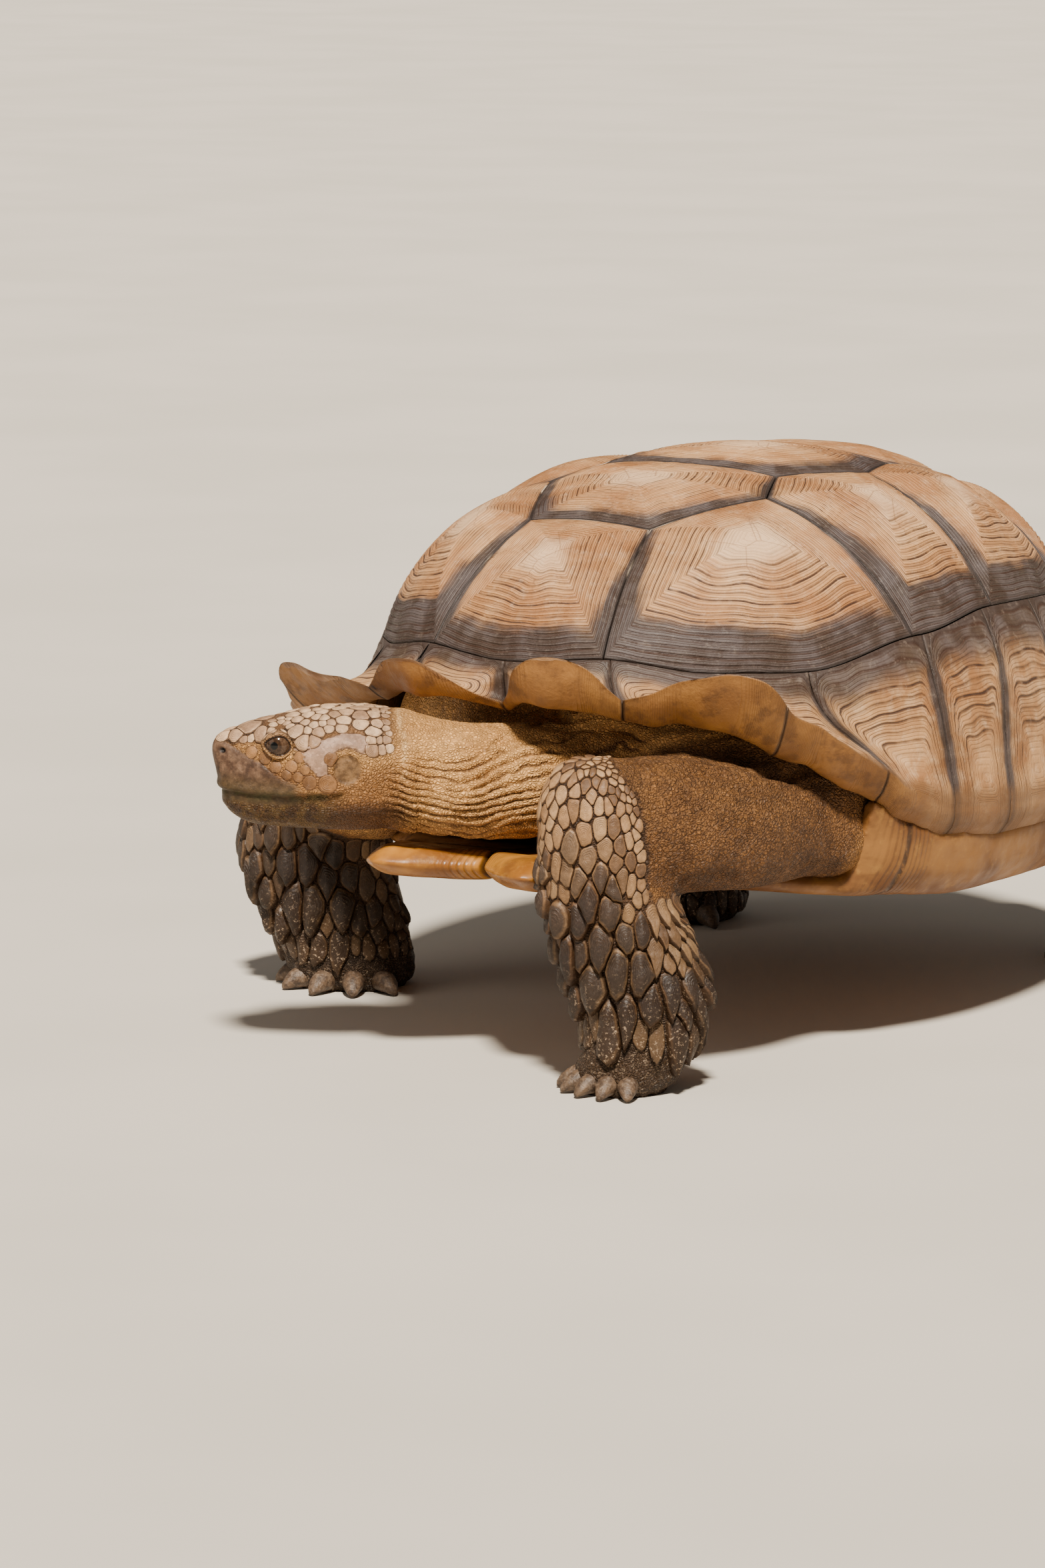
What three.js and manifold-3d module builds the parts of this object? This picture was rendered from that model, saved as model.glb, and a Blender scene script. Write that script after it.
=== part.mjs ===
// African spurred tortoise (Centrochelys sulcata), a large adult walking, life size.
// Millimetres, +Z up. The head points towards -Y and the animal's left side is +X.
// The shell is built about its own middle; the finished group is then set so that the
// centre of its base is the origin.
import * as THREE from "three";
import Module from "manifold-3d";
import { mergeVertices } from "three/addons/utils/BufferGeometryUtils.js";

const wasm = await Module();
wasm.setup();

// ---------------------------------------------------------------- driving dimensions
const SHELL = {
  halfWidth: 235.5, // plan half width of the dome at rim level
  front: 318, // plan half length, widest place to front
  rear: 310, // plan half length, widest place to rear
  rim: 168, // height of the dome's base above the ground
  rise: 221.5, // height of the dome above that base
  planPower: 2.1, // squareness of the plan outline
  archPower: 2.39, // squareness of the arch
  plate: 5, // thickness of a horn plate
  seam: 0.45, // half of the gap between two plates
  sunk: 4.5, // depth of the seams below the dome
};
const PLASTRON = { thick: 16, wall: 13 }; // thickness of the belly plate and of its side walls
const GAP = 0.4; // air between pieces that touch
const CUT = 0.5; // width of the cut that parts two lengths of flesh

// ---------------------------------------------------------------- small helpers
const V = (x, y, z) => new THREE.Vector3(x, y, z);
const lerp = THREE.MathUtils.lerp;
const rad = THREE.MathUtils.degToRad;
const smooth = (t) => t * t * (3 - 2 * t);

// Value at t of a curve given as [position, value] keys, eased between keys.
function keyed(keys, t) {
  let i = 1;
  while (i < keys.length - 1 && t > keys[i][0]) i++;
  const [a, va] = keys[i - 1];
  const [b, vb] = keys[i];
  return lerp(va, vb, smooth(THREE.MathUtils.clamp((t - a) / (b - a), 0, 1)));
}

// The direction that a ring faces.
function ringNormal(ring) {
  const normal = V(0, 0, 0);
  ring.forEach((p, i) => normal.add(p.clone().cross(ring[(i + 1) % ring.length])));
  return normal.normalize();
}

// The triangles that close a ring, wound the same way as the ring itself.
function cap(ring) {
  const turn = new THREE.Quaternion().setFromUnitVectors(ringNormal(ring), V(0, 0, 1));
  const flat = ring.map((p) => p.clone().applyQuaternion(turn));
  const area = (a, b, c) => (b.x - a.x) * (c.y - a.y) - (b.y - a.y) * (c.x - a.x);
  return THREE.ShapeUtils.triangulateShape(flat, []).map(([a, b, c]) =>
    area(flat[a], flat[b], flat[c]) > 0 ? [a, b, c] : [a, c, b],
  );
}

// One closed geometry from rings of equal length. Its ends are closed flat, or by a fan round
// a tip where one is given.
function loft(rings, tipA, tipB) {
  const n = rings[0].length;
  const points = rings.flat();
  const index = [];
  for (let r = 0; r + 1 < rings.length; r++)
    for (let i = 0; i < n; i++) {
      const a = r * n + i;
      const b = r * n + ((i + 1) % n);
      index.push(a, b, a + n, b, b + n, a + n);
    }
  const fan = (tip) => rings[0].map((_, i) => [tip, i, (i + 1) % n]);
  const base = (rings.length - 1) * n;
  const first = tipA ? fan(points.push(tipA) - 1) : cap(rings[0]);
  const last = tipB ? fan(points.push(tipB) - 1 - base) : cap(rings.at(-1));
  for (const [a, b, c] of first) index.push(a, c, b);
  for (const [a, b, c] of last) index.push(a + base, b + base, c + base);
  return facingOut(indexed(points, index));
}

function indexed(points, index) {
  const geometry = new THREE.BufferGeometry().setFromPoints(points);
  geometry.setIndex(index);
  return geometry;
}

function signedVolume(geometry) {
  const p = geometry.getAttribute("position");
  const ix = geometry.index;
  const [a, b, c] = [V(0, 0, 0), V(0, 0, 0), V(0, 0, 0)];
  let sum = 0;
  for (let i = 0; i < ix.count; i += 3) {
    a.fromBufferAttribute(p, ix.getX(i));
    b.fromBufferAttribute(p, ix.getX(i + 1));
    c.fromBufferAttribute(p, ix.getX(i + 2));
    sum += a.dot(b.cross(c));
  }
  return sum / 6;
}

function facingOut(geometry) {
  if (signedVolume(geometry) > 0) return geometry;
  const ix = Array.from(geometry.index.array);
  for (let i = 0; i < ix.length; i += 3) [ix[i], ix[i + 1]] = [ix[i + 1], ix[i]];
  geometry.setIndex(ix);
  return geometry;
}

// ---------------------------------------------------------------- solids for joining and cutting
function toSolid(geometry) {
  const bare = new THREE.BufferGeometry();
  bare.setAttribute("position", geometry.getAttribute("position"));
  bare.setIndex(geometry.index);
  const merged = mergeVertices(bare, 1e-3);
  return new wasm.Manifold(
    new wasm.Mesh({
      numProp: 3,
      vertProperties: new Float32Array(merged.getAttribute("position").array),
      triVerts: new Uint32Array(merged.index.array),
    }),
  );
}

function toGeometry(solid) {
  const mesh = solid.getMesh();
  const geometry = new THREE.BufferGeometry();
  geometry.setAttribute("position", new THREE.BufferAttribute(mesh.vertProperties, 3));
  geometry.setIndex(new THREE.BufferAttribute(mesh.triVerts, 1));
  return geometry;
}

// The main piece of a solid that a cut has left in several, without its finest slivers.
const SLIVER = 0.1;
function mainBody(solid) {
  const pieces = solid.simplify(SLIVER).decompose();
  return pieces.sort((a, b) => b.volume() - a.volume())[0];
}

// The same shape with every face moved out by about the distance given.
function swollen(geometry, distance) {
  const bare = new THREE.BufferGeometry();
  bare.setAttribute("position", geometry.getAttribute("position"));
  bare.setIndex(geometry.index);
  const merged = mergeVertices(bare, 1e-3);
  merged.computeVertexNormals();
  const p = merged.getAttribute("position");
  const n = merged.getAttribute("normal");
  for (let i = 0; i < p.count; i++)
    p.setXYZ(
      i,
      p.getX(i) + n.getX(i) * distance,
      p.getY(i) + n.getY(i) * distance,
      p.getZ(i) + n.getZ(i) * distance,
    );
  merged.deleteAttribute("normal");
  return merged;
}

// The room a piece takes up, with air about it: what lies next to it is cut by this.
const roomOf = (geometry, air) => toSolid(geometry).add(toSolid(swollen(geometry, air)));

// ---------------------------------------------------------------- the dome
// A place on the shell is a point q of the unit disc: its direction is the compass
// direction from the middle of the shell, and its length runs from the top to the rim.
function planReach(c, s) {
  const p = SHELL.planPower;
  const k = (Math.abs(c) ** p + Math.abs(s) ** p) ** (-1 / p);
  return [SHELL.halfWidth * k * c, (s < 0 ? SHELL.front : SHELL.rear) * k * s];
}

function domePoint(qx, qy) {
  const r = Math.hypot(qx, qy);
  if (r < 1e-6) return V(0, 0, SHELL.rim + SHELL.rise);
  const [x, y] = planReach(qx / r, qy / r);
  const a = (r * Math.PI) / 2;
  const out = Math.sin(a) ** (2 / SHELL.archPower);
  const up = Math.max(Math.cos(a), 0) ** (2 / SHELL.archPower);
  return V(x * out, y * out, SHELL.rim + SHELL.rise * up);
}

function domeNormal(qx, qy) {
  const e = 0.012;
  const dx = domePoint(qx + e, qy).sub(domePoint(qx - e, qy));
  const dy = domePoint(qx, qy + e).sub(domePoint(qx, qy - e));
  const n = dx.cross(dy).normalize();
  return n.z < 0 ? n.negate() : n;
}

// Compass angle, in degrees from the front towards the animal's left, as a disc direction.
const heading = (deg) => [Math.sin(rad(deg)), -Math.cos(rad(deg))];

// Where the big plates end and the edge plates begin, as a radius of the disc.
const EDGE_START = [
  [0, 0.73], [19, 0.715], [38, 0.745], [52, 0.752], [72, 0.7], [90, 0.665], [120, 0.68], [152, 0.725],
  [180, 0.745],
];
const edgeStart = (deg) => keyed(EDGE_START, Math.abs(deg));
const edgePoint = (deg) => {
  const [c, s] = heading(deg);
  const r = edgeStart(deg);
  return [c * r, s * r];
};

// ---------------------------------------------------------------- vertebral and costal plates
// Seam corners of the left side on the disc; the right side mirrors them.
const CORNER = {
  v12: [0.128, -0.364],
  c12: [0.214, -0.182],
  v23: [0.158, -0.1],
  c23: [0.222, 0.035],
  v34: [0.18, 0.13],
  c34: [0.225, 0.27],
  v45: [0.14, 0.43],
};
const HEADING = { v1: 18.7, c12: 71, c23: 91, c34: 119, v5: 152 };
// Headings of the seams between edge plates, where they meet the dome and at the rim.
const SEAM_TOP = [0, 20, 39, 52, 73, 88, 103, 116, 129, 142, 154, 167, 180];
const SEAM_RIM = [0, 24, 45, 61, 73.5, 85, 98, 112, 126, 140, 153, 166.5, 180];

const mirrored = (q) => [-q[0], q[1]];
// Steps across each edge plate: the curled ones at the front need the most.
const EDGE_STEPS = [6, 6, 4, 3, 3, 3, 3, 4, 4, 4, 3, 3];
const EDGE_STATIONS = [];
EDGE_STEPS.forEach((steps, i) => {
  for (let k = 0; k < steps; k++) EDGE_STATIONS.push(i + k / steps);
});
EDGE_STATIONS.push(12);
const seamHeading = (seams, m) => {
  const i = Math.min(Math.floor(m), 11);
  return lerp(seams[i], seams[i + 1], m - i);
};

// The stretch of the edge plates' upper seam between two headings, with their stations on it.
function edgeRun(from, to) {
  const stops = [from, to, ...EDGE_STATIONS.map((m) => seamHeading(SEAM_TOP, m)).flatMap((a) => [a, -a])]
    .filter((a) => a >= Math.min(from, to) && a <= Math.max(from, to))
    .sort((a, b) => (from < to ? a - b : b - a));
  return stops.filter((a, i) => i === 0 || Math.abs(a - stops[i - 1]) > 0.5).map(edgePoint);
}

function vertebral(left) {
  return [...left, ...left.map(mirrored).reverse()];
}
// The seam round the back of the last vertebral, from its left corner to its right one.
const tailRun = [...edgeRun(HEADING.v5, 180), ...edgeRun(-180, -HEADING.v5).slice(1)];
// Each plate: name, outline on the disc, areola on the disc, and rise of the areola in millimetres.
const PLATES = [
  ["vertebral_1", [...edgeRun(-HEADING.v1, HEADING.v1), CORNER.v12, mirrored(CORNER.v12)], [0, -0.48], 8],
  ["vertebral_2", vertebral([CORNER.v12, CORNER.c12, CORNER.v23]), [0, -0.22], 5],
  ["vertebral_3", vertebral([CORNER.v23, CORNER.c23, CORNER.v34]), [0, 0.03], 4],
  ["vertebral_4", vertebral([CORNER.v34, CORNER.c34, CORNER.v45]), [0, 0.3], 8],
  ["vertebral_5", [mirrored(CORNER.v45), CORNER.v45, ...tailRun], [0, 0.52], 9],
];
const COSTALS = [
  [[CORNER.v12, ...edgeRun(HEADING.v1, HEADING.c12), CORNER.c12], [0.3, -0.31], 8],
  [[CORNER.c12, ...edgeRun(HEADING.c12, HEADING.c23), CORNER.c23, CORNER.v23], [0.33, -0.06], 8],
  [[CORNER.c23, ...edgeRun(HEADING.c23, HEADING.c34), CORNER.c34, CORNER.v34], [0.33, 0.15], 8],
  [[CORNER.c34, ...edgeRun(HEADING.c34, HEADING.v5), CORNER.v45], [0.3, 0.36], 8],
];
COSTALS.forEach(([outline, areola, rise], i) => {
  PLATES.push([`costal_left_${i + 1}`, outline, areola, rise]);
  PLATES.push([`costal_right_${i + 1}`, outline.map(mirrored), mirrored(areola), rise]);
});

// A plate is a cone of rings round its areola: the rings are its growth lines.
function plateGeometry(outline, areola, rise) {
  const step = 30; // longest side of the seam's facets
  const rim = [];
  outline.forEach((a, i) => {
    const b = outline[(i + 1) % outline.length];
    const length = domePoint(...a).distanceTo(domePoint(...b));
    const parts = Math.max(1, Math.ceil(length / step));
    for (let k = 0; k < parts; k++) rim.push([lerp(a[0], b[0], k / parts), lerp(a[1], b[1], k / parts)]);
  });
  const at = (q, f, lift) => {
    const qx = lerp(areola[0], q[0], f);
    const qy = lerp(areola[1], q[1], f);
    return domePoint(qx, qy).addScaledVector(domeNormal(qx, qy), lift);
  };
  const outer = (q, f) => at(q, f, rise * (1 - f ** 2.2) - SHELL.sunk);
  const inner = (q, f) => at(q, f, -SHELL.sunk - SHELL.plate);
  // The seam is drawn in by the gap, measured on the surface.
  const reach = Math.min(...rim.map((q) => domePoint(...q).distanceTo(domePoint(...areola))));
  const full = 1 - SHELL.seam / (reach * 0.8);
  const rings = [0.34, 0.7, full].map((f) => rim.map((q) => outer(q, f)));
  return loft([...rings, rim.map((q) => inner(q, full))], outer(areola, 0), inner(areola, 0));
}

// ---------------------------------------------------------------- edge plates
// A place along the rim is a plate number: 0 at the front notch, 1 at the seam of the
// first and second plates, and 12 at the middle of the tail plate.
const RIM_OUT = [ // how far the rim stands outside the dome's plan outline
  [0, -24], [0.14, -12], [0.3, 14], [0.5, 19], [0.75, 16], [1, 12], [1.3, 22], [1.6, 38], [1.86, 45],
  [1.97, 40], [2.04, 28], [2.5, 24], [3, 16], [4, 8], [6, 6], [7, 8], [7.8, 18], [8, 12], [8.8, 28],
  [9, 16], [9.8, 28], [10, 16], [10.8, 18], [11, 6], [12, -8],
];
const RIM_HEIGHT = [ // height of the rim's edge above the ground
  [0, 244], [0.14, 252], [0.3, 275], [0.45, 284], [0.6, 285], [0.8, 279], [0.92, 262], [1, 256],
  [1.15, 260], [1.4, 272], [1.65, 278], [1.86, 273], [1.97, 258], [2.04, 246], [2.3, 238], [2.5, 225],
  [2.75, 212], [3, 200], [3.3, 185], [4, 170], [5, 164], [6, 162], [7, 166], [7.8, 174], [8, 172],
  [8.8, 184], [9, 180], [9.8, 186], [10, 180], [10.8, 176], [11, 166], [12, 150],
];
const RIM_PITCH = [ // direction of the outer face at the rim, degrees above level
  [0, 0], [0.3, 72], [0.7, 72], [1, 45], [1.6, 66], [2, 45], [2.5, 5], [3, -30], [4, -75], [7, -75],
  [8, -25], [9, 12], [10.5, 5], [12, -60],
];
const RIGHT_DROP = [ // how much lower the front lobes stand on the animal's right side
  [0, 0], [0.3, 6], [0.6, 11], [1, 8], [1.2, 10], [1.4, 21], [1.6, 22.5], [1.8, 19.5], [1.9, 17], [2, 13],
  [2.15, 19], [2.3, 16], [2.5, 11], [3, 0],
];
const RIGHT_FLARE = [ // and how much further out
  [0, 0], [1.5, 0], [1.7, 2.5], [1.86, 6], [2, 16], [2.15, 18], [2.3, 17], [2.5, 24], [2.75, 18],
  [3, 8], [3.6, 0],
];
const RIGHT_LIP = [[0, 1], [0.3, 0.8], [1, 0.6], [2, 0.7], [3, 1]]; // and how much shallower they curl
const LIP_DEPTH = [ // height of the curled face below the rim's edge
  [0, 6], [0.14, 8], [0.3, 26], [0.5, 39], [0.75, 37], [0.92, 22], [1, 16], [1.3, 30], [1.65, 44],
  [1.86, 47], [1.97, 40], [2.04, 32], [2.5, 26], [3, 20], [4, 20], [7, 20], [8.5, 16], [11, 16],
  [12, 12],
];
const LIP_INSET = [ // how far that face's foot stands inside the rim's edge
  [0, 6], [0.3, 14], [0.75, 16], [1, 12], [1.65, 28], [1.9, 32], [2.04, 22], [2.5, 18], [3, 13], [4, 7],
  [7, 7], [9, 14], [12, 10],
];

function rimFrame(m, onRight = false) {
  const top = seamHeading(SEAM_TOP, m);
  const [ct, st] = heading(top);
  const start = edgeStart(top);
  const base = domePoint(ct * start, st * start);
  const normal = domeNormal(ct * start, st * start);
  base.addScaledVector(normal, -SHELL.sunk);
  const above = domePoint(ct * (start - 0.02), st * (start - 0.02)).addScaledVector(normal, -SHELL.sunk);
  const fall = base.clone().sub(above).normalize();
  const [c, s] = heading(seamHeading(SEAM_RIM, m));
  const [x, y] = planReach(c, s);
  const p = SHELL.planPower - 1;
  const length = s < 0 ? SHELL.front : SHELL.rear;
  const out = V(
    (Math.sign(c) * Math.abs(x / SHELL.halfWidth) ** p) / SHELL.halfWidth,
    (Math.sign(s) * Math.abs(y / length) ** p) / length,
    0,
  ).normalize();
  const height = keyed(RIM_HEIGHT, m) - (onRight ? keyed(RIGHT_DROP, m) : 0);
  const reach = keyed(RIM_OUT, m) + (onRight ? keyed(RIGHT_FLARE, m) : 0);
  const tip = V(x, y, 0).addScaledVector(out, reach).setZ(height);
  const depth = keyed(LIP_DEPTH, m) * (onRight ? keyed(RIGHT_LIP, m) : 1);
  return { base, out, normal, tip, fall, depth };
}

const along = (frame, out, up) => frame.out.clone().multiplyScalar(out).add(V(0, 0, up));

// Points of the plate's outer face from the dome to the lip.
function rimOuter(f, m, steps) {
  const pitch = rad(keyed(RIM_PITCH, m));
  const span = f.base.distanceTo(f.tip);
  const a = f.base.clone().addScaledVector(f.fall, span * 0.45);
  const b = f.tip.clone().sub(along(f, Math.cos(pitch) * span * 0.4, Math.sin(pitch) * span * 0.4));
  const curve = new THREE.CubicBezierCurve3(f.base, a, b, f.tip);
  return curve.getPoints(steps);
}

// Points of the under face from the lip back to the inside of the dome.
function rimInner(f, m) {
  const { depth } = f;
  const inset = keyed(LIP_INSET, m);
  const lip = f.tip.clone().add(along(f, -inset, -depth));
  const bulge = f.tip.clone().lerp(lip, 0.5).add(along(f, depth * 0.1, 0));
  const inside = lip.clone().add(along(f, -0.45 * depth - 4, 0.1 * depth));
  const root = f.base.clone().addScaledVector(f.normal, -SHELL.plate);
  const edge = f.tip.clone().add(along(f, -1.5, -2));
  return [edge, bulge, lip, inside, root];
}

// The outline of an edge plate cut across at a place along the rim.
function edgeSection(m, onRight = false) {
  const f = rimFrame(m, onRight);
  const outer = rimOuter(f, m, 4);
  const inner = rimInner(f, m);
  outer[0].addScaledVector(f.fall, SHELL.seam * 2);
  inner[4].addScaledVector(f.fall, SHELL.seam * 2);
  return [...outer, ...inner];
}

// Draws an end ring back from the seam it shares with the next plate, square to its section.
function drawBack(ring, neighbour) {
  const normal = ringNormal(ring);
  const side = Math.sign(normal.dot(neighbour[0].clone().sub(ring[0])));
  ring.forEach((p) => p.addScaledVector(normal, side * SHELL.seam));
}

function edgePlate(i, onRight) {
  const steps = EDGE_STEPS[i];
  const rings = [];
  for (let k = 0; k <= steps; k++) rings.push(edgeSection(i + k / steps, onRight));
  drawBack(rings[0], rings[1]);
  drawBack(rings[steps], rings[steps - 1]);
  return onRight ? mirrorX(loft(rings)) : loft(rings);
}

// The tail plate crosses the middle, so it is lofted from both sides.
function tailPlate() {
  const half = [0, 1, 2, 3].map((k) => edgeSection(11 + k / 3));
  drawBack(half[0], half[1]);
  const other = half.slice(0, -1).reverse().map((ring) => ring.map((p) => V(-p.x, p.y, p.z)));
  return loft([...half, ...other]);
}

function mirrorX(geometry) {
  const copy = geometry.clone();
  copy.scale(-1, 1, 1);
  return facingOut(copy);
}

// ---------------------------------------------------------------- materials
const finish = (hex, roughness) => new THREE.MeshStandardMaterial({ color: hex, roughness, metalness: 0 });
const MATERIAL = {
  shell: finish(0xb08a5c, 0.55),
  rim: finish(0xb58c58, 0.55),
  under: finish(0xb98a4a, 0.6),
  skin: finish(0x9a7546, 0.8),
  eye: finish(0x1c1510, 0.15),
};

const tortoise = new THREE.Group();
function place(name, geometry, material) {
  const mesh = new THREE.Mesh(geometry, material);
  mesh.name = name;
  tortoise.add(mesh);
  return mesh;
}

for (const [name, ...form] of PLATES) place(name, plateGeometry(...form), MATERIAL.shell);
for (let i = 1; i <= 11; i++) {
  place(`marginal_left_${i}`, edgePlate(i - 1, false), MATERIAL.rim);
  place(`marginal_right_${i}`, edgePlate(i - 1, true), MATERIAL.rim);
}
place("supracaudal", tailPlate(), MATERIAL.rim);

// ---------------------------------------------------------------- plastron
// Height of the belly plate's under face, front to rear: it rises towards the throat.
const BELLY = [
  [-400, 134], [-330, 125], [-230, 117], [-145, 108], [-50, 98], [150, 94], [260, 102], [330, 116],
];
// Half of its plan outline, from the notch between the gulars round to the notch at the tail.
const BELLY_OUTLINE = [
  [0, -318], [12, -330], [38, -356], [60, -364], [74, -350], [82, -318], [104, -268], [140, -214],
  [178, -172], [198, -148], [203, -60], [203, 50], [197, 128], [178, 152], [150, 190], [118, 232],
  [84, 262], [52, 282], [26, 276], [0, 250],
];

function bellyPlate() {
  const half = BELLY_OUTLINE.map(([x, y]) => V(x, y, keyed(BELLY, y)));
  const outline = [...half, ...half.slice(1, -1).reverse().map((p) => V(-p.x, p.y, p.z))];
  const middle = V(0, -20, 0);
  const ring = (scale, up, tilt) =>
    outline.map((p) => {
      const q = p.clone().sub(middle).multiplyScalar(scale).add(middle);
      q.z = p.z + up + (p.y < -300 ? tilt : 0);
      return q;
    });
  const t = PLASTRON.thick;
  return loft([ring(0.95, 0, 0), ring(1, 0.5 * t, 3), ring(0.95, t, 4)], V(0, -20, 101), V(0, -20, 97 + t));
}

// The side wall that ties the belly plate to the edge plates, from fore to hind leg hole.
function bridgeWall() {
  const sections = [];
  const stations = EDGE_STATIONS.filter((m) => m > 2.9 && m < 7.4);
  stations.forEach((m, i) => {
    const frame = rimFrame(m);
    const [, , lip] = rimInner(frame, m);
    const out = frame.out;
    // The wall's ends lean into the leg holes.
    const share = Math.abs(Math.sin((Math.PI * i) / (stations.length - 1))) ** 0.35;
    const foot = V(lerp(186, 204, share), lip.y, 0);
    foot.z = keyed(BELLY, foot.y) + 1;
    const top = lip.clone().add(V(0, 0, -2 * GAP)).addScaledVector(out, -1);
    const belly = foot.clone().lerp(top, 0.5).add(V(9 * share, 0, -7 * share));
    const low = foot.clone().lerp(top, 0.14).add(V(5 * share, 0, -6 * share));
    const inward = out.clone().multiplyScalar(-PLASTRON.wall);
    const back = [top, belly, low, foot].map((p) => p.clone().add(inward).setZ(Math.max(p.z, foot.z + 2)));
    back[0].z = top.z;
    sections.push([top, belly, low, foot, back[3], back[2], back[1], back[0]]);
  });
  return loft(sections);
}

const wall = bridgeWall();
const bellyParts = [bellyPlate(), wall, mirrorX(wall)];
const belly = mainBody(wasm.Manifold.union(bellyParts.map(toSolid)));
// The gulars are the two prongs under the throat: cut off along a line behind them.
const gularCut = -296;
const prongs = belly.trimByPlane([0, -1, 0], -gularCut + CUT / 2);
place("plastron", toGeometry(belly.trimByPlane([0, 1, 0], gularCut + CUT / 2)), MATERIAL.under);
place("gular_left", toGeometry(prongs.trimByPlane([1, 0, 0], CUT / 2)), MATERIAL.under);
place("gular_right", toGeometry(prongs.trimByPlane([-1, 0, 0], CUT / 2)), MATERIAL.under);
const under = wasm.Manifold.union(bellyParts.map((part) => roomOf(part, 2 * GAP)));

// ---------------------------------------------------------------- trunk
// The body that fills the shell: its skin closes the leg holes a little inside the rim.
// How far the skin stands inside the rim, and how much further in at the belly plate.
const POCKET = [[0, 64], [2, 66], [3, 46], [3.8, 30], [7.4, 30], [8.6, 48], [10, 58], [12, 52]];
const POCKET_FOOT = [[0, 4], [2.4, 6], [3.4, 27], [7.4, 27], [8.6, 8], [12, 4]];
function trunkGeometry() {
  const turns = 36;
  const radii = [0.24, 0.44, 0.6];
  const rings = [[], [], [], [], [], []];
  for (let i = 0; i < turns; i++) {
    const side = i <= turns / 2 ? 1 : -1;
    const m = 12 * (1 - Math.abs(1 - i / (turns / 2)));
    const frame = rimFrame(m);
    const [c, s] = heading(seamHeading(SEAM_TOP, m));
    const inset = keyed(POCKET, m);
    const wallTop = frame.base.clone().addScaledVector(frame.normal, -20).addScaledVector(frame.out, -8);
    const [, , lip] = rimInner(frame, m);
    const mid = frame.tip.clone().addScaledVector(frame.out, -inset).setZ(Math.min(lip.z, wallTop.z - 12));
    const low = mid.clone().addScaledVector(frame.out, -keyed(POCKET_FOOT, m));
    low.z = keyed(BELLY, low.y) + PLASTRON.thick + 5;
    const top = radii.map((r) => domePoint(c * r, s * r).addScaledVector(domeNormal(c * r, s * r), -20));
    [...top, wallTop, mid, low].forEach((p, k) => rings[k].push(V(p.x * side, p.y, p.z)));
  }
  return loft(rings, V(0, 0, SHELL.rim + SHELL.rise - 20), V(0, 0, 103 + PLASTRON.thick));
}
const trunkShape = trunkGeometry();
place("trunk", toGeometry(mainBody(toSolid(trunkShape).subtract(under))), MATERIAL.skin);
const room = wasm.Manifold.union([under, roomOf(trunkShape, 2 * GAP)]);

// ---------------------------------------------------------------- flesh
// A tube through stations [x, y, z, half width, half height]; side is where its width points.
function tube(stations, side, count = 12, power = 2.3) {
  const centre = stations.map(([x, y, z]) => V(x, y, z));
  const rings = stations.map(([, , , wide, high], i) => {
    const ahead = centre[Math.min(i + 1, centre.length - 1)];
    const behind = centre[Math.max(i - 1, 0)];
    const along = ahead.clone().sub(behind).normalize();
    const across = side.clone().addScaledVector(along, -side.dot(along)).normalize();
    const upward = along.clone().cross(across).normalize();
    return Array.from({ length: count }, (_, k) => {
      const a = (2 * Math.PI * (k + 0.5)) / count;
      const u = Math.sign(Math.cos(a)) * Math.abs(Math.cos(a)) ** (2 / power) * wide;
      const v = Math.sign(Math.sin(a)) * Math.abs(Math.sin(a)) ** (2 / power) * high;
      return centre[i].clone().addScaledVector(across, u).addScaledVector(upward, v);
    });
  });
  return toSolid(loft(rings));
}

// Rings of an upright leg lie level, so that its sole is flat on the ground.
function leg(stations, side, count = 12) {
  const across = side.clone().setZ(0).normalize();
  const ahead = V(-across.y, across.x, 0);
  const rings = stations.map(([x, y, z, wide, deep]) =>
    Array.from({ length: count }, (_, k) => {
      const a = (2 * Math.PI * (k + 0.5)) / count;
      const u = Math.sign(Math.cos(a)) * Math.abs(Math.cos(a)) ** 0.88 * wide;
      const v = Math.sign(Math.sin(a)) * Math.abs(Math.sin(a)) ** 0.88 * deep;
      return V(x, y, z).addScaledVector(across, u).addScaledVector(ahead, v);
    }),
  );
  return toSolid(loft(rings));
}

// A blunt claw: a short horn from a toe, drooping to the ground.
function claw(root, direction, length, radius) {
  const tip = root.clone().addScaledVector(direction, length);
  tip.z = radius * 0.45;
  const mid = root.clone().lerp(tip, 0.6).add(V(0, 0, radius * 0.25));
  const at = (p, r) => [p.x, p.y, p.z, r, r * 0.8];
  const side = V(-direction.y, direction.x, 0);
  return tube([at(root, radius), at(mid, radius * 0.85), at(tip, radius * 0.38)], side, 6, 2);
}

// The claws of a foot stand in a fan round its front edge.
function clawFan(x, y, toes, reach, width, count, spread = 62) {
  const fan = [];
  for (let i = 0; i < count; i++) {
    const turn = lerp(-spread, spread, i / (count - 1));
    const direction = V(...heading(toes + turn), 0);
    const root = V(x, y, 10).addScaledVector(direction, reach - 6);
    fan.push(claw(root, direction, 20, width));
  }
  return fan;
}

// ---------------------------------------------------------------- neck and head
// The head is turned to the animal's right; lengths are along its axis from the nape.
const HEAD = { nape: V(-62, -331, 0), turn: -50, mouth: 185.5, mouthCorner: 38 };
const headAhead = V(...heading(HEAD.turn), 0);
const headLeft = V(-headAhead.y, headAhead.x, 0);
const HEAD_FORM = [ // distance from the nape, top, bottom, half width
  [0, 239, 158, 41], [16, 241.5, 158, 44], [32, 242, 158, 45.5], [48, 241.5, 158.5, 45],
  [60, 239.5, 159, 42], [70, 237, 160, 38.5], [80, 235.5, 160.5, 34.5], [90, 236, 162, 30],
  [98, 235.5, 165.5, 26], [106, 232.5, 173, 21.5], [113, 229, 183, 17], [118.5, 223, 187, 12],
  [120.5, 215, 194, 7],
];
const EYE = { along: 77.5, aside: 23.8, height: 219.5, radius: 10.5 };
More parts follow.
